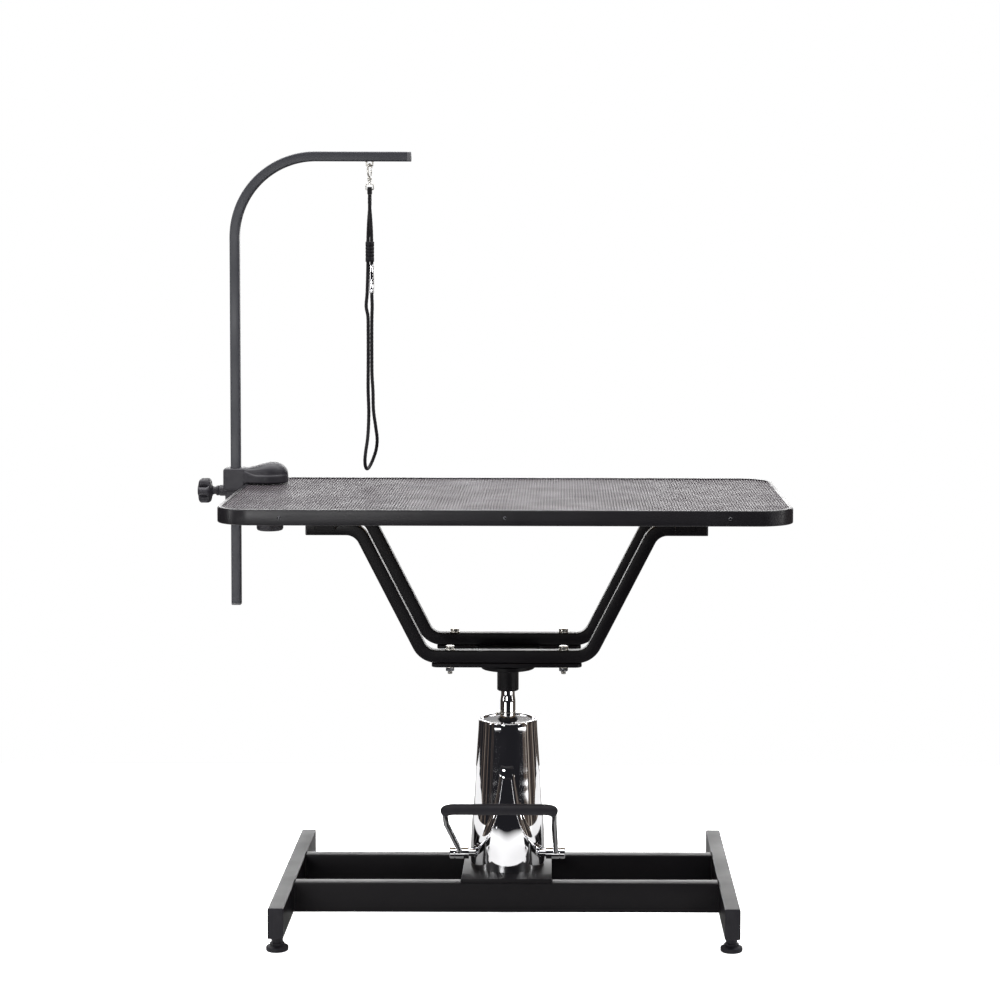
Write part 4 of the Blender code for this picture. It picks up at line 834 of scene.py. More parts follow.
def support_frame(end):
    tube = Box(f"support_frame_{end}")
    solid = Solid().bent_tube(frame_path(tube), FRAME_TUBE, TUBE_WALL, TUBE_EDGE)
    made = stand_in(tube.node, solid)
    for side, outward in SIDES.items():
        drill(made, BOLT_HOLE, -0.05, 0.05, aim(Box(f"frame_bolt_{end}_{side}").at(z=tube.low.z)), 24)
        cap = Box(f"frame_plug_{end}_{side}")
        face = cap.low.x if outward < 0 else cap.high.x
        place = aim(cap.at(x=face - outward * CAP_FLANGE), (-outward, 0, 0))
        stand_in(cap.node, frame_cap(FRAME_TUBE, FRAME_TUBE, CAP_FLANGE, place))


def plate_outline(inset=0.0):
    """Two straps with round ends, joined by a web whose inner corners are rounded."""
    half, across = PLATE.size.x / 2 - inset, PLATE.size.y / 2 - inset
    strap_in = across - 0.030 + 2 * inset
    web, fillet, nose = 0.060 - inset, 0.012 + inset, 0.012
    quarter = arc(fillet, pi, pi / 2, 6, web + fillet, strap_in - fillet)
    quarter += arc(nose, -pi / 2, 0, 6, half - nose, strap_in + nose)
    quarter += arc(nose, 0, pi / 2, 6, half - nose, across - nose)
    upper = quarter + [(-x, y) for x, y in reversed(quarter)]
    return upper + [(-x, -y) for x, y in upper]


def mount_plate():
    edge, thick = 0.0009, PLATE.size.z
    full, small = plate_outline(), plate_outline(edge)
    stations = ((0, small), (edge, full), (thick - edge, full), (thick, small))
    made = stand_in(PLATE.node, Solid().stack(stations, aim(PLATE.at(z=PLATE.low.z))))
    for end in ENDS:
        for side in SIDES:
            place = aim(Box(f"frame_bolt_{end}_{side}").at(z=PLATE.mid.z))
            drill(made, BOLT_HOLE, -0.02, 0.02, place, 24)


def table_hub():
    """A turned socket for the rod, under a stepped flange that is welded to the plate."""
    hub = Box("table_hub")
    flange, bore, socket, fillet = hub.size.x / 2, NECK_RADIUS + 0.0004, 0.0217, 0.004
    under, top, low = 0.4965, hub.high.z, hub.low.z
    step = under + 0.010
    profile = [
        (flange - 0.008, top), (flange - 0.008, step + 0.001), (flange - 0.0072, step),
        (flange - 0.0012, step - 0.0012), (flange, step - 0.0024), (flange, under + 0.0012),
        (flange - 0.0012, under), *arc(fillet, pi / 2, pi, 5, socket + fillet, under - fillet),
        (socket, low + 0.0016), (socket - 0.0016, low), (bore + 0.0012, low), (bore, low + 0.0012),
        (bore, ROD.high.z + 0.0005),
    ]
    stand_in(hub.node, Solid().turned(profile, aim(PUMP_AT), 96))


def hex_head(across_flats, low, high, spin, chamfer_low=False):
    """The loops of a hexagon head whose corners are turned off at the top, and at the foot if asked."""
    angles = [2 * pi * i / 48 for i in range(48)]

    def ring(z, trim, scale=1.0):
        flats = [across_flats / 2 / cos((a - spin) % (pi / 3) - pi / 6) for a in angles]
        radii = [min(flat, across_flats / sqrt(3) - trim) * scale for flat in flats]
        return [(r * cos(a), r * sin(a), z) for r, a in zip(radii, angles)]

    tall = high - low
    foot = [ring(low, 0.0014, 0.985), ring(low + tall * 0.10, 0.0004)] if chamfer_low else [ring(low, 0)]
    return foot + [ring(high - tall * 0.16, 0), ring(high - tall * 0.08, 0.0006), ring(high, 0.0015, 0.985)]


def frame_bolt(end, side):
    """A hexagon bolt and washer above the tube, and a washer, nut and threaded tip below the strap."""
    bolt, tube = Box(f"frame_bolt_{end}_{side}"), Box(f"support_frame_{end}")
    tube_top, strap_low = tube.low.z + FRAME_TUBE + GAP, PLATE.low.z - GAP
    place = aim(bolt.at(z=0))
    spin = {"left": 0.35, "right": 0.12}[side]
    washer, head = 0.0013, 0.0162
    shank = BOLT_RADIUS - 0.0002
    solid = Solid()
    for low in (tube_top, strap_low - washer):
        high = low + washer
        solid.turned((
            (BOLT_RADIUS + 0.0002, low), (0.0100, low), (0.0102, low + 0.0003), (0.0102, high - 0.0003),
            (0.0100, high), (BOLT_RADIUS + 0.0002, high)), place, 40, ring=True)
    solid.skin(hex_head(head, tube_top + washer, bolt.high.z, spin), False, place)
    solid.turned(((shank, strap_low - 0.001), (shank, tube_top + 0.002)), place, 24)
    nut_high = strap_low - washer
    nut_low = nut_high - 0.0072
    nut = Solid().skin(hex_head(head, nut_low, nut_high, spin + 0.2, True), False, place)
    refinish(piece(f"frame_nut_{end}_{side}", nut, bolt.node, (), 30), "black_screw")
    tip = bolt.low.z
    thread = [(BOLT_RADIUS - 0.0012, tip), (BOLT_RADIUS - 0.0005, tip + 0.0006),
              *ridged(BOLT_RADIUS, tip + 0.0009, 2 * int((nut_low - tip) / THREAD_PITCH) + 1),
              (shank, nut_low + 0.001)]
    stand_in(bolt.node, solid.turned(thread, place, 28))


# --- table top

BAND = Box("edge_band")
TOP_CORNER = 0.070
BAND_SHEET = 0.0016
RIB_PITCH = 0.0056
SCREW_NAMES = ("left", "middle", "right")


def edge_band():
    """A folded channel round the edge, with rounded folds, a lip over the mat and one underneath."""
    low, high, lip, foot_lip, fold = BAND.low.z, BAND.high.z, 0.008, 0.005, 0.0022
    under, over = high - BAND_SHEET, low + BAND_SHEET
    section = [
        *arc(fold, pi, pi / 2, 4, fold, high - fold), (lip - 0.0005, high), (lip, high - 0.0005),
        (lip, under), (BAND_SHEET + 0.0008, under), (BAND_SHEET, under - 0.0008), (BAND_SHEET, over),
        (foot_lip, over), (foot_lip, low + 0.0004), (foot_lip - 0.0004, low),
        *arc(fold, -pi / 2, -pi, 4, fold, low + fold),
    ]
    loops = []
    for inset, z in section:
        outline = rounded(BAND.size.x - 2 * inset, BAND.size.y - 2 * inset, TOP_CORNER - inset, 20)
        loops.append([(BAND.mid.x + x, BAND.mid.y + y, z) for x, y in outline])
    band = stand_in(BAND.node, Solid().skin(loops, True))
    wear(band, "edge_coat")
    for name in SCREW_NAMES:
        for sign in ENDS.values():
            drill(band, 0.0021, -0.006, 0.006, aim(screw_place(name, sign), ALONG_Y), 20)


def screw_place(name, sign):
    return Box(f"trim_screw_{name}").at(y=BAND.mid.y + sign * BAND.size.y / 2)


def rubber_mat():
    """The ribbed mat: each rib runs across the table, and ends where the round outline is."""
    mat = Box("rubber_mat")
    half_x, half_y = mat.size.x / 2, mat.size.y / 2
    corner = TOP_CORNER - BAND_SHEET - GAP
    valley, crest = mat.high.z - 0.0013, mat.high.z
    lead, flank = 0.0009, 0.0005

    def reach(x):
        """How far the mat reaches along Y at a place along X."""
        past = abs(x) - (half_x - corner)
        return half_y if past <= 0 else half_y - corner + sqrt(max(0.0, corner**2 - past**2))

    count = int(2 * (half_x - 0.004) / RIB_PITCH)
    columns = [(-half_x + 0.0002, valley)]
    for i in range(count):
        x = (i - count / 2) * RIB_PITCH
        end = x + RIB_PITCH - lead
        columns += [(x + lead, valley), (x + lead + flank, crest), (end - flank, crest), (end, valley)]
    columns.append((half_x - 0.0002, valley))
    loops = []
    for x, top in columns:
        far, at = max(reach(x), 0.001), mat.mid.x + x
        loops.append([(at, y, z) for y, z in ((-far, mat.low.z), (far, mat.low.z), (far, top), (-far, top))])
    stand_in(mat.node, Solid().skin(loops), 20)


def trim_screw(place):
    """A pan head with a cross recess, and its shank."""
    steps = 48
    profile = ((0.0018, -0.014), (0.0018, GAP), (0.0036, GAP), (0.0036, 0.0008), (0.0034, 0.0012),
               (0.0029, 0.0017), (0.0022, 0.0020))
    loops = [level(circle(radius, steps), z) for radius, z in profile]
    angles = [2 * pi * i / steps for i in range(steps)]
    spokes = [abs((a + pi / 4) % (pi / 2) - pi / 4) for a in angles]
    cross = [min(0.0019, 0.00045 / max(sin(spoke), 1e-3)) for spoke in spokes]
    for z, scale in ((0.0021, 1.0), (0.0010, 0.92)):
        loops.append([(r * scale * cos(a), r * scale * sin(a), z) for r, a in zip(cross, angles)])
    return Solid().skin(loops, False, place)


def trim_screws():
    """Three screws in the front edge, which stand for the CAD's, and three more in the rear edge."""
    for turn, name in enumerate(SCREW_NAMES):
        node = f"trim_screw_{name}"
        for end, sign in ENDS.items():
            place = aim(screw_place(name, sign), (0, sign, 0), 0.3 + 0.7 * turn)
            piece(f"{node}_{end}", trim_screw(place), node, (node,) if end == "front" else (), 30)


def table_bearer(side):
    """A square tube under the board, with a lid just inside each of its ends."""
    bearer = Box(f"bearer_{side}")
    wall, lid = 0.0015, 0.0016
    place = aim(bearer.mid, ALONG_Y)
    solid = Solid().tube(bearer.size.x, bearer.size.z, wall, bearer.size.y, place, 0.002)
    inside = 2 * wall + 0.0002
    size = (bearer.size.x - inside, bearer.size.z - inside, lid)
    for y in (bearer.low.y + lid, bearer.high.y - lid):
        solid.block(size, 0.0004, aim(bearer.at(y=y), ALONG_Y), 1)
    stand_in(bearer.node, solid)


# --- clamp

CLAMP = Box("clamp_body")
POLE = Box("arm_cap_foot")
CLAMP_Y = POLE.mid.y
CLAMP_SCREW = Box("clamp_knob")
LOCK = Box("lock_knob")
SCREW_BORE = 0.0054
COLUMN_LEFT = -0.544
COLUMN_DEPTH = 0.034
SOCKET_LEFT = -0.5470
SOCKET_RIGHT = -0.5008
SOCKET_HALF = 0.025
SOCKET_STEP = 0.835
SOCKET_TOP = 0.8820
HEAD_START = -0.508
HEAD_CENTRE = -0.456
HEAD_RADIUS = 0.042
HEAD_SHOULDER = 0.868
HUMP_X = -0.447
NECK_TOP = 0.8815
NECK_SKIRT = 0.8770
JAW_REACH = 0.026
JAW_THICK = 0.021


def head_section(x, half_width, top, low, spring):
    """A soft-shouldered cross-section of the clamp's upper jaw, flat underneath."""
    steps, ledge, softness = 16, 0.0026, 0.62
    flank = [(half_width - 0.002, low), (half_width, low + 0.002), (half_width, spring - 0.0022),
             (half_width - 0.0008, spring - 0.0006)]
    crown = []
    for angle in (pi * step / steps for step in range(steps + 1)):
        side = 1 if cos(angle) >= 0 else -1
        across = (half_width - ledge) * side * abs(cos(angle)) ** softness
        crown.append((across, spring + (top - spring) * sin(angle) ** softness))
    loop = flank + crown + [(-y, z) for y, z in reversed(flank)]
    return [(x, CLAMP_Y + y, z) for y, z in loop]


def clamp_head(low):
    """The upper jaw: a neck at the socket that swells into a round, humped end over the table."""
    top, skirt = CLAMP.high.z, low + 0.0175
    loops = []
    for step in range(14):
        along = step / 13
        x = HEAD_START + (HEAD_CENTRE - HEAD_START) * along
        height = eased(min(1.0, (x - HEAD_START) / (HUMP_X - HEAD_START)), NECK_TOP, top)
        spring = eased(min(1.0, along * 1.6), NECK_SKIRT, skirt)
        loops.append(head_section(x, eased(along, SOCKET_HALF, HEAD_RADIUS), height, low, spring))
    for angle in (radians(degrees) for degrees in range(84, 0, -6)):
        x = HEAD_CENTRE + HEAD_RADIUS * cos(angle)
        past = max(0.0, (x - HUMP_X) / (HEAD_CENTRE + HEAD_RADIUS - HUMP_X))
        height = HEAD_SHOULDER + (top - HEAD_SHOULDER) * sqrt(1 - past**2)
        loops.append(head_section(x, HEAD_RADIUS * sin(angle), height, low, skirt))
    return Solid().skin(loops)


def lower_jaw():
    """The flat lower jaw, tangent to a round end about the hand screw."""
    low, root, half = CLAMP.low.z, CLAMP.low.x + 0.0215, COLUMN_DEPTH / 2
    points = [(root, CLAMP_Y - half), *arc(JAW_REACH, -pi / 2, pi / 2, 24, CLAMP_SCREW.mid.x, CLAMP_Y),
              (root, CLAMP_Y + half)]
    return Solid().stack(((low, points), (low + JAW_THICK, points)))


def upright(left, depth, low, high, edge, segments=3):
    """A block of the clamp that ends at the socket's right side."""
    size = (SOCKET_RIGHT - left, depth, high - low)
    return Solid().block(size, edge, aim(((left + SOCKET_RIGHT) / 2, CLAMP_Y, (low + high) / 2)), segments)


def clamp_body():
    """One moulding: the jaws and the socket are united, softened where they meet, and then bored."""
    low = CLAMP.low.z
    body = stand_in(CLAMP.node, upright(COLUMN_LEFT, COLUMN_DEPTH, low, SOCKET_STEP + 0.005, 0.004), 60)
    socket = upright(SOCKET_LEFT, 2 * SOCKET_HALF, SOCKET_STEP, SOCKET_TOP, 0.005, 4)
    boss = Solid().turned(((0.0115, 0), (0.0115, 0.0135), (0.0105, 0.0150), (0.0095, 0.0160)),
                          aim((-0.5425, CLAMP_Y, LOCK.mid.z), (-1, 0, 0)), 40)
    for solid in (socket, clamp_head(BAND.high.z + GAP), lower_jaw(), boss):
        carve(body, solid, "UNION")
    remesh = body.modifiers.new("one skin", "REMESH")
    remesh.mode = "VOXEL"
    remesh.voxel_size = 0.0011
    soften = body.modifiers.new("moulded edges", "SMOOTH")
    soften.factor = 0.5
    soften.iterations = 6
    keep_modifiers(body)
    inside = POLE.size.x + 0.0008
    channel = rounded(inside, inside, 0.0024)
    carve(body, Solid().stack(((-0.15, channel), (0.15, channel)), aim((POLE.mid.x, CLAMP_Y, 0.83))))
    narrow = rounded(inside - 0.0004, inside - 0.0004, 0.0022)
    flared = rounded(inside + 0.0022, inside + 0.0022, 0.0032)
    mouth = aim((POLE.mid.x, CLAMP_Y, CLAMP.high.z - 0.0137))
    carve(body, Solid().stack(((-0.0012, narrow), (0.0006, flared)), mouth))
    for place in (aim((POLE.mid.x - 0.030, CLAMP_Y, LOCK.mid.z), ALONG_X),
                  aim((CLAMP_SCREW.mid.x, CLAMP_Y, low))):
        drill(body, SCREW_BORE, -0.030, 0.030, place, 32)
    wear(body, SLOT_OF[CLAMP.node])
    shade(body, 45)


def clamp_pad():
    """A ribbed rubber pad with a shallow ring moulded in its top."""
    pad = Box("clamp_pad")
    radius, top, low = pad.size.x / 2, pad.high.z, pad.low.z
    steps = [(0.0070, low), (0.0010, low + 0.0026), (0, low + 0.0040)]
    for z in (low + 0.0052 + 0.0020 * groove for groove in range(3)):
        steps += [(0, z), (0.0006, z + 0.0005), (0, z + 0.0010)]
    steps += [(0, top - 0.0012), (0.0008, top - 0.0003), (0.0014, top), (0.0046, top),
              (0.0050, top - 0.0006), (0.0058, top - 0.0006), (0.0062, top)]
    stand_in(pad.node, Solid().turned(inward(radius, steps), aim(pad.at(z=0)), 64))


def clamp_knob():
    """A round hand knob with eight finger grooves, on the clamp's screw."""
    knob = Box("clamp_knob")
    place = aim(knob.at(z=knob.low.z))

    def grooves(angle, z):
        depth = 0.055 if 0.003 < z < 0.0175 else 0.015 if 0.001 < z else 0
        return 1 - depth * max(0.0, -cos(8 * angle)) ** 0.7

    profile = inward(knob.size.x / 2, (
        (0.0100, 0.0016), (0.0078, 0.0003), (0.0052, 0.0), (0.0022, 0.0010), (0.0006, 0.0032),
        (0, 0.0058), (0, 0.0135), (0.0008, 0.0158), (0.0030, 0.0172)))
    profile += [(0.0165, 0.0182), (0.0125, 0.0192), (0.0108, 0.0206), (0.0105, 0.0218), (0.0095, 0.0222)]
    solid = Solid().turned(profile, place, 128, grooves).thread(0.0215, knob.size.z, place)
    stand_in(knob.node, solid, 32)


def lock_shoe():
    shoe = Box("lock_shoe")
    radius, deep = shoe.size.z / 2, shoe.size.x
    profile = ((radius - 0.0005, 0), (radius, 0.0005), (radius, deep - 0.0005), (radius - 0.0005, deep),
               (0.0016, deep), (0.0014, deep - 0.0008))
    stand_in(shoe.node, Solid().turned(profile, aim(shoe.at(x=shoe.low.x), ALONG_X), 32))


def lock_knob():
    """A star knob with six round lobes, a plain hub and collar, and its screw."""
    inner = LOCK.high.x + 0.0033
    outside = inner - LOCK.low.x
    place = aim(LOCK.at(x=inner), (-1, 0, 0))
    reach, front, back = 0.0275, outside - 0.0088, outside - 0.0200

    def star(angle, z):
        deep = outside - z
        if not 0.0008 < deep < 0.0260:
            return 1
        share = min(1.0, (0.0260 - deep) / 0.0055, max(0.25, (deep + 0.0022) / 0.0062))
        return 1 - 0.44 * share * (1 - abs(cos(3 * angle)) ** 0.62)

    profile = [
        (0.0100, 0.0252), (0.0105, 0.0258), (0.0105, 0.0296), (0.0098, 0.0304), (0.0080, 0.0312),
        (0.0080, outside - 0.0332), (0.0090, outside - 0.0312), (0.0120, outside - 0.0295),
        *arc(reach - 0.0170, -pi / 2, 0, 8, 0.0170, back, 0.0075), (reach, outside - 0.0140),
        *arc(reach - 0.0160, 0, pi / 2, 8, 0.0160, front, 0.0070)[:-1], (0.0135, outside - 0.0012),
        (0.0110, outside - 0.0003), (0.0100, outside), (0.0094, outside - 0.0002),
        (0.0088, outside - 0.0010),
    ]
    solid = Solid().turned(profile, place, 144, star).thread(0.0033, 0.0260, place)
    stand_in(LOCK.node, solid, 40)


# --- arm

ARM = Box("arm_tube")
ARM_WIDTH = ARM.size.y
ARM_BEND = 0.168
ARM_WALL = 0.0015
ARM_EDGE = 0.0028


def arm_tube():
    x, y, top = ARM.low.x + ARM_WIDTH / 2, ARM.mid.y, ARM.high.z - ARM_WIDTH / 2
    path = round_path([(x, y, ARM.low.z), (x, y, top), (ARM.high.x, y, top)], ARM_BEND, 40)
    stand_in(ARM.node, Solid().bent_tube(path, ARM_WIDTH, ARM_WALL, ARM_EDGE))


def arm_caps():
    end, foot = Box("arm_cap_end"), POLE
    flanges = end.high.x - ARM.high.x - GAP, ARM.low.z - foot.low.z - GAP
    places = (aim(end.at(x=end.high.x - flanges[0]), (-1, 0, 0)), aim(foot.at(z=foot.low.z + flanges[1])))
    for cap, flange, place in zip((end, foot), flanges, places):
        rim = ((-flange, 0.0026, 0.0020), (-flange + 0.0005, 0.0010, 0.0025),
               (-flange + 0.0014, 0, ARM_EDGE), (0, 0, ARM_EDGE))
        stand_in(cap.node, moulded_cap(ARM_WIDTH, ARM_WIDTH, ARM_WALL, place, rim, 0.0135))


def arm_eye():
    """The wire staple that the snap hook hangs from, its legs turned out as small welded feet."""
    wire, half = 0.0015, HOOK_EYE.size.x / 2 - 0.0015
    high, low = HOOK_EYE.high.z, HOOK_EYE.low.z + wire
    staple = ((-half, high), (-half, low), (half, low), (half, high))
    corners = [HOOK_EYE.at(x=HOOK_EYE.mid.x + x, z=z) for x, z in staple]
    solid = Solid().sweep(round_path(corners, 0.003, 8), circle(wire, 20))
    for foot in (corners[0], corners[-1]):
        solid.turned(((wire + 0.0002, -0.0014), (wire + 0.0011, -0.0004), (wire + 0.0014, 0)), aim(foot), 20)
    stand_in(HOOK_EYE.node, solid)


# --- snap hook and noose hardware

HOOK_FACING = Matrix.Rotation(pi / 2 - radians(25), 3, "Z")
HOOK_WIRE = 0.002
HOOK_ARC = 0.007
BAR_WIRE = 0.0015
BAR_AT = HOOK_EYE.at(z=HOOK_EYE.low.z + BAR_WIRE)
EYE = Box("swivel_eye")
EYE_WIRE = 0.0012
EYE_TOP = 1.4735


def hook_path(points):
    """Places for points in the snap hook's own plane, measured from the bar that it hangs on."""
    return [BAR_AT + HOOK_FACING @ Vector((x, 0, z)) for x, z in points]


def snap_hook():
    """A cast hook that thins towards its tip, above a bored barrel."""
    centre = BAR_WIRE + GAP + HOOK_WIRE - HOOK_ARC
    path = hook_path((
        (0, -0.0250), (-0.0022, -0.0222), (-0.0050, -0.0195), (-0.0066, -0.0158), (-HOOK_ARC, -0.0120),
        *arc(HOOK_ARC, pi, -0.06 * pi, 24, 0, centre)))
    wire = Solid().sweep(path, circle(HOOK_WIRE, 20), side=ALONG_Z,
                         size=lambda t: 1.0 if t < 0.8 else 1.4 - 0.5 * t)
    hook = stand_in("snap_hook", wire, 50)
    place = aim(BAR_AT - Vector((0, 0, 0.03175)))
    profile = inward(0.0048, ((0.0008, 0), (0, 0.0008), (0, 0.0022), (0.0006, 0.0028), (0.0006, 0.0052),
                              (0, 0.0058), (0, 0.0070), (0.0012, 0.0082), (0.0022, 0.0085)))
    carve(hook, Solid().turned(profile, place, 40), "UNION")
    drill(hook, 0.0024, -0.003, 0.0048, place, 28)


def hook_gate():
    path = hook_path(((0.0052, -0.0205), (0.0058, -0.0180), (0.0062, -0.0155), (0.0065, -0.0115),
                      (0.0068, -0.0070)))
    solid = Solid().sweep(path, circle(0.0014, 18), side=ALONG_Z,
                          size=lambda t: 0.72 + 0.28 * sin(pi * t) ** 0.4)
    stand_in("hook_gate", solid)


def swivel_eye():
    """A flat wire loop whose lower bar the noose hangs on, and a headed stem in the hook's barrel."""
    bar = EYE.low.z + EYE_WIRE
    outline = rounded(EYE.size.x - 2 * EYE_WIRE, EYE_TOP - bar, 0.003, 6)
    path = [EYE.at(x=EYE.mid.x + u, z=(bar + EYE_TOP) / 2 + v) for u, v in outline]
    loop = stand_in(EYE.node, Solid().sweep(path, circle(EYE_WIRE, 18), ring=True), 50)
    profile = ((0.0030, EYE_TOP - 0.0010), (0.0031, EYE_TOP + 0.0004), (0.0027, EYE_TOP + 0.0014),
               (0.0019, EYE_TOP + 0.0020), (0.0019, EYE.high.z))
    carve(loop, Solid().turned(profile, aim(EYE.at(z=0)), 32), "UNION")


def noose_end():
    """The strap that both strands are sewn into, folded over the swivel's bar, with its stitches."""
    end = Box("noose_end")
    low, tall = end.low.z, end.size.z
    stations = []
    for t in (i / 32 for i in range(33)):
        pinch = 0.00022 * (0.5 + 0.5 * cos(2 * pi * 7 * t))
        tip = max(0.0, (t - 0.82) / 0.18) ** 2
        close = 1 - 0.2 * tip - 0.06 * max(0.0, (0.06 - t) / 0.06)
        width, depth = (end.size.x - pinch) * close, (end.size.y - pinch) * (1 - 0.24 * tip)
        outline = rounded(width, depth, min(width, depth) / 2 - 0.0003, 8)
        stations.append((low + tall * t, [(end.mid.x + u, end.mid.y + v) for u, v in outline]))
    made = stand_in(end.node, Solid().stack(stations))
    drill(made, 0.0016, -0.015, 0.015, aim(end.at(z=EYE.low.z + EYE_WIRE), ALONG_X), 24)
    stitches = Solid()
    for side in (-1, 1):
        for row in (-0.00204, 0.00204):
            for z in (low + 0.0016 + 0.0017 * k for k in range(4)):
                start = Vector((end.mid.x + side * (end.size.x / 2 - 0.0006), end.mid.y + row, z))
                path = [start + Vector(step) for step in
                        ((0, 0, 0), (side * 0.00035, 0.0004, 0.0004), (0, 0.0008, 0.0008))]
                stitches.sweep(path, circle(0.00022, 8), side=ALONG_X)
    piece("noose_stitches", stitches, end.node)


def noose_keeper():
    """The moulded slide that closes the noose: a sleeve with four grip grooves and rolled rims."""
    keeper = Box("noose_keeper")
    radius, low, high, bore = keeper.size.x / 2, keeper.low.z, keeper.high.z, 0.0077
    groove = ((0, -0.0014), (0.0005, -0.0006), (0.0005, 0.0006), (0, 0.0014))
    profile = [(bore, low + 0.0005), (bore + 0.0003, low), (radius - 0.0005, low), (radius, low + 0.0008)]
    for share in (0.25, 0.42, 0.58, 0.75):
        profile += inward(radius, groove, low + (high - low) * share)
    profile += [(radius, high - 0.0008), (radius - 0.0005, high), (bore + 0.0003, high),
                (bore, high - 0.0005)]
    stand_in(keeper.node, Solid().turned(profile, aim(keeper.at(z=0)), 56, ring=True))


def noose_ferrule():
    """A rolled metal tube with a seam along it and a crimped waist near each end."""
    ferrule = Box("noose_ferrule")
    radius, low, high = ferrule.size.x / 2, ferrule.low.z, ferrule.high.z
    bore = CORD_RADIUS + 0.0004

    def seam(angle, z):
        gap = (angle + pi / 2) % (2 * pi)
        return 1 - 0.05 * max(0.0, 1 - min(gap, 2 * pi - gap) / 0.14)

    end = ((0.0002, 0), (0, 0.0004), (0, 0.0050), (0.0003, 0.0062), (0, 0.0074))
    profile = [*inward(radius, end, low), *inward(radius, end[::-1], high, -1), (bore, high), (bore, low)]
    solid = Solid().turned(profile, aim(ferrule.at(z=0)), 72, seam, ring=True)
    stand_in(ferrule.node, solid)


# --- stage, light and camera

FLOOR_LOW = (-1.5, -1.2)
FLOOR_HIGH = (1.5, 1.3)
WALL_LIGHT = 8.5
WALL_TOP = 0.295


def pale_floor():
    """Pale studio paper with a glow of its own, so that the table throws only a faint shadow.

    Reflections see a painted pool of light on it in front and at the sides, and painted shade round the pump
    and far in front.
    """
    paper = Finish("pale_paper", Specular_IOR_Level=0.2)
    seen = paper.camera_ray()
    # painted light and shade: for reflections the paper's glow and colour follow these zones, bright in
    # front of and beside the table, dark round the pump and far in front
    beside = paper.spread(paper.maths("ABSOLUTE", paper.axes["X"]), 0.60, 0.75, 0.22, 0.55)
    in_front = paper.spread(paper.axes["Y"], -0.10, -0.22, 0.0, 0.75)
    near = paper.spread(paper.axes["Y"], -1.20, -0.75, 0.0, 1.0)
    lit = paper.product(paper.maths("MAXIMUM", beside, in_front), near)
    glow = paper.maths("MAXIMUM", paper.product(lit, 0.2), paper.product(seen, 0.98))
    paper.feed(paper.shader.inputs["Emission Strength"], glow)
    paper.feed(paper.shader.inputs["Emission Color"], (1, 1, 1, 1))
    paper.colour(paper.blend(paper.noise(2, 2), (0.82, 0.82, 0.82), (0.86, 0.86, 0.86)))
    # painted shade: for reflections the paper's colour goes to black outside the bright zones
    paper.overlay_colour(paper.maths("SUBTRACT", 1.0, paper.maths("MAXIMUM", lit, seen)), (0.0, 0.0, 0.0))
    paper.roughness(paper.spread(paper.noise(30, 3), 0.3, 0.7, 0.60, 0.70))
    return paper.material


def studio_floor():
    (x0, y0), (x1, y1) = FLOOR_LOW, FLOOR_HIGH
    sheet = Solid()
    sheet.bm.faces.new([sheet.bm.verts.new((x, y, 0)) for x, y in ((x0, y0), (x1, y0), (x1, y1), (x0, y1))])
    floor = shown("studio_floor", sheet.mesh("studio_floor"))
    floor.data.materials.append(pale_floor())


def studio_world():
    """White all round for the camera. Reflections see a dim, streaked room with a bright wall behind that
    a dim gap crosses, a ceiling, and two low boxes in front.
    """
    scene = bpy.context.scene
    scene.world = bpy.data.worlds.new("studio")
    scene.world.use_nodes = True
    scene.world.node_tree.nodes.clear()
    sky = Nodes(scene.world.node_tree, "Generated")

    def between(axis, low, high):
        """0 where the direction's share along an axis is under low, and 1 where it is over high."""
        return sky.spread(sky.axes[axis], low, high, 0, 1, interpolation_type="SMOOTHSTEP")

    def raised(share, floor):
        """A share that reaches down to that floor instead of 0."""
        return sky.maths("ADD", sky.product(share, 1 - floor), floor)

    gap = sky.product(between("Z", 0.110, 0.135), between("Z", 0.260, 0.240), 0.95)
    wall = sky.product(
        between("Y", 0.80, 0.93), between("Z", -0.02, 0.04), between("Z", WALL_TOP + 0.05, WALL_TOP),
        sky.maths("SUBTRACT", 1.0, gap), raised(between("Z", 0.20, 0.24), 0.72))
    ceiling = sky.product(between("Z", 0.62, 0.85), 0.36)
    low_front = sky.product(
        between("Y", 0.0, -0.1), between("Z", -0.130, -0.145), between("Z", -0.215, -0.205), 0.5)
    left_box = sky.product(between("X", -0.79, -0.75), between("X", -0.43, -0.47), low_front)
    right_box = sky.product(between("X", 0.66, 0.70), between("X", 0.97, 0.94), low_front)
    boxes = sky.maths("MAXIMUM", left_box, right_box)
    bright = sky.maths("MAXIMUM", boxes, sky.maths("MAXIMUM", wall, ceiling))
    streaks = sky.product(sky.noise(6.0, 4, (1, 1, 0.08)), raised(between("Y", -0.80, -0.30), 0.65))
    tint = sky.node("ShaderNodeValToRGB", {0: streaks})
    dark, pale = tint.color_ramp.elements
    dark.position, dark.color = 0.47, (0.016, 0.016, 0.019, 1)
    pale.position, pale.color = 0.66, (0.50, 0.44, 0.38, 1)
    tint.color_ramp.elements.new(0.57).color = (0.11, 0.085, 0.07, 1)
    room = sky.blend(bright, tint.outputs["Color"], (WALL_LIGHT, WALL_LIGHT, WALL_LIGHT))
    lit, seen = (sky.node("ShaderNodeBackground", {"Color": colour}).outputs[0]
                 for colour in (room, (1.0, 1.0, 1.0, 1)))
    choose = sky.node("ShaderNodeMixShader", {0: sky.camera_ray(), 1: lit, 2: seen})
    sky.node("ShaderNodeOutputWorld", {"Surface": choose.outputs[0]})


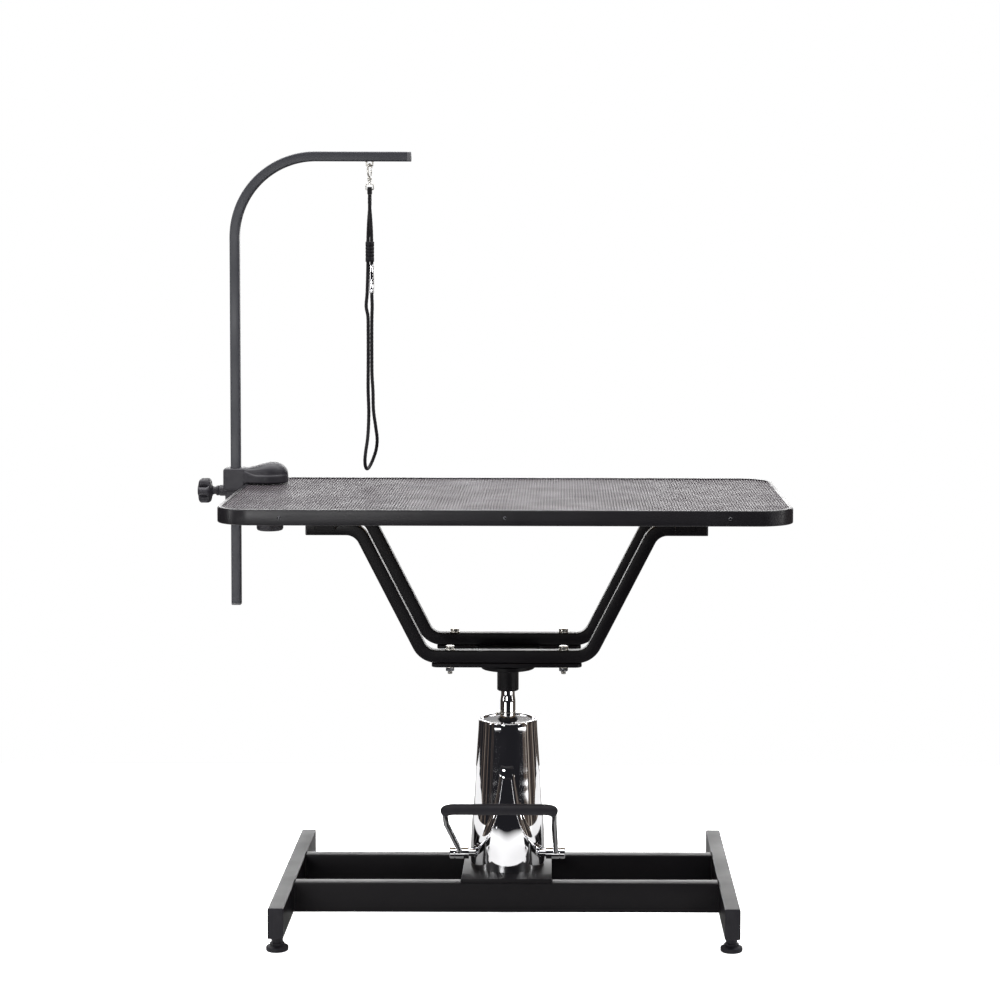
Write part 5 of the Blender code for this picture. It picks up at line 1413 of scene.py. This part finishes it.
SOFTBOXES = {
    # name: (place, what it points at, size, power)
    "top_left_box": ((-2.2, 0.4, 3.4), (0, 0, 0.8), (1.6, 1.6), 60),
    "top_right_box": ((2.4, 0.2, 3.2), (0, 0, 0.8), (1.4, 1.4), 50),
    "floor_wash": ((0, 2.2, 3.6), (0, 1.2, 0), (3.4, 1.6), 30),
    "left_strip": ((-2.6, -0.9, 1.1), (0, 0, 0.5), (0.16, 1.7), 9),
    "right_strip": ((2.7, -0.5, 1.0), (0, 0, 0.5), (0.12, 1.5), 7),
    "front_left_box": ((-1.25, -4.4, 0.80), (-0.4, 0, 0.9), (0.9, 0.6), 38),
    "high_left_box": ((-3.3, -3.0, 2.3), (0, 0, 0.6), (0.8, 0.8), 22),
    "high_right_box": ((3.4, -3.0, 2.3), (0, 0, 0.6), (0.8, 0.8), 22),
}


def softboxes():
    for name, (place, target, size, power) in SOFTBOXES.items():
        light = bpy.data.lights.new(name, "AREA")
        light.shape = "RECTANGLE"
        light.size, light.size_y = size
        light.energy = power
        box = shown(name, light)
        box.location = place
        box.rotation_euler = (Vector(target) - Vector(place)).to_track_quat("-Z", "Y").to_euler()


def studio_camera():
    """The photograph's viewing angle: a long lens from 4.7 m in front, at 1.37 m, tipped down a little."""
    data = bpy.data.cameras.new("camera")
    data.lens = 84.53
    data.sensor_width = 36.0
    data.shift_x, data.shift_y = -0.0654, -0.13
    camera = shown("camera", data)
    camera.location = (0.1573, -4.6965, 1.3680)
    camera.rotation_euler = (radians(90 - 3.282), radians(-0.151), radians(-0.077))
    bpy.context.scene.camera = camera


# --- the whole table

tint_zinc_and_shade_mat()
dress_frame()
noose_cord()
for side in SIDES:
    base_bar(side)
    for end in ENDS:
        levelling_foot(f"foot_{side}_{end}")
for end in ENDS:
    base_rail(end)
for build in (pump_base_plate, pump_shroud, pump_gland, piston_rod, rod_clip):
    build()
for build in (pedal_bar, pedal_grip, pedal_shaft):
    build()
for end in ENDS:
    support_frame(end)
    for side in SIDES:
        frame_bolt(end, side)
for build in (mount_plate, table_hub, edge_band, rubber_mat, trim_screws):
    build()
for side in SIDES:
    table_bearer(side)
for build in (clamp_body, clamp_pad, clamp_knob, lock_shoe, lock_knob):
    build()
for build in (arm_tube, arm_caps, arm_eye, snap_hook, hook_gate, swivel_eye):
    build()
for build in (noose_end, noose_keeper, noose_ferrule):
    build()
for build in (studio_floor, studio_world, softboxes, studio_camera):
    build()
bpy.context.scene.view_settings.view_transform = "Standard"
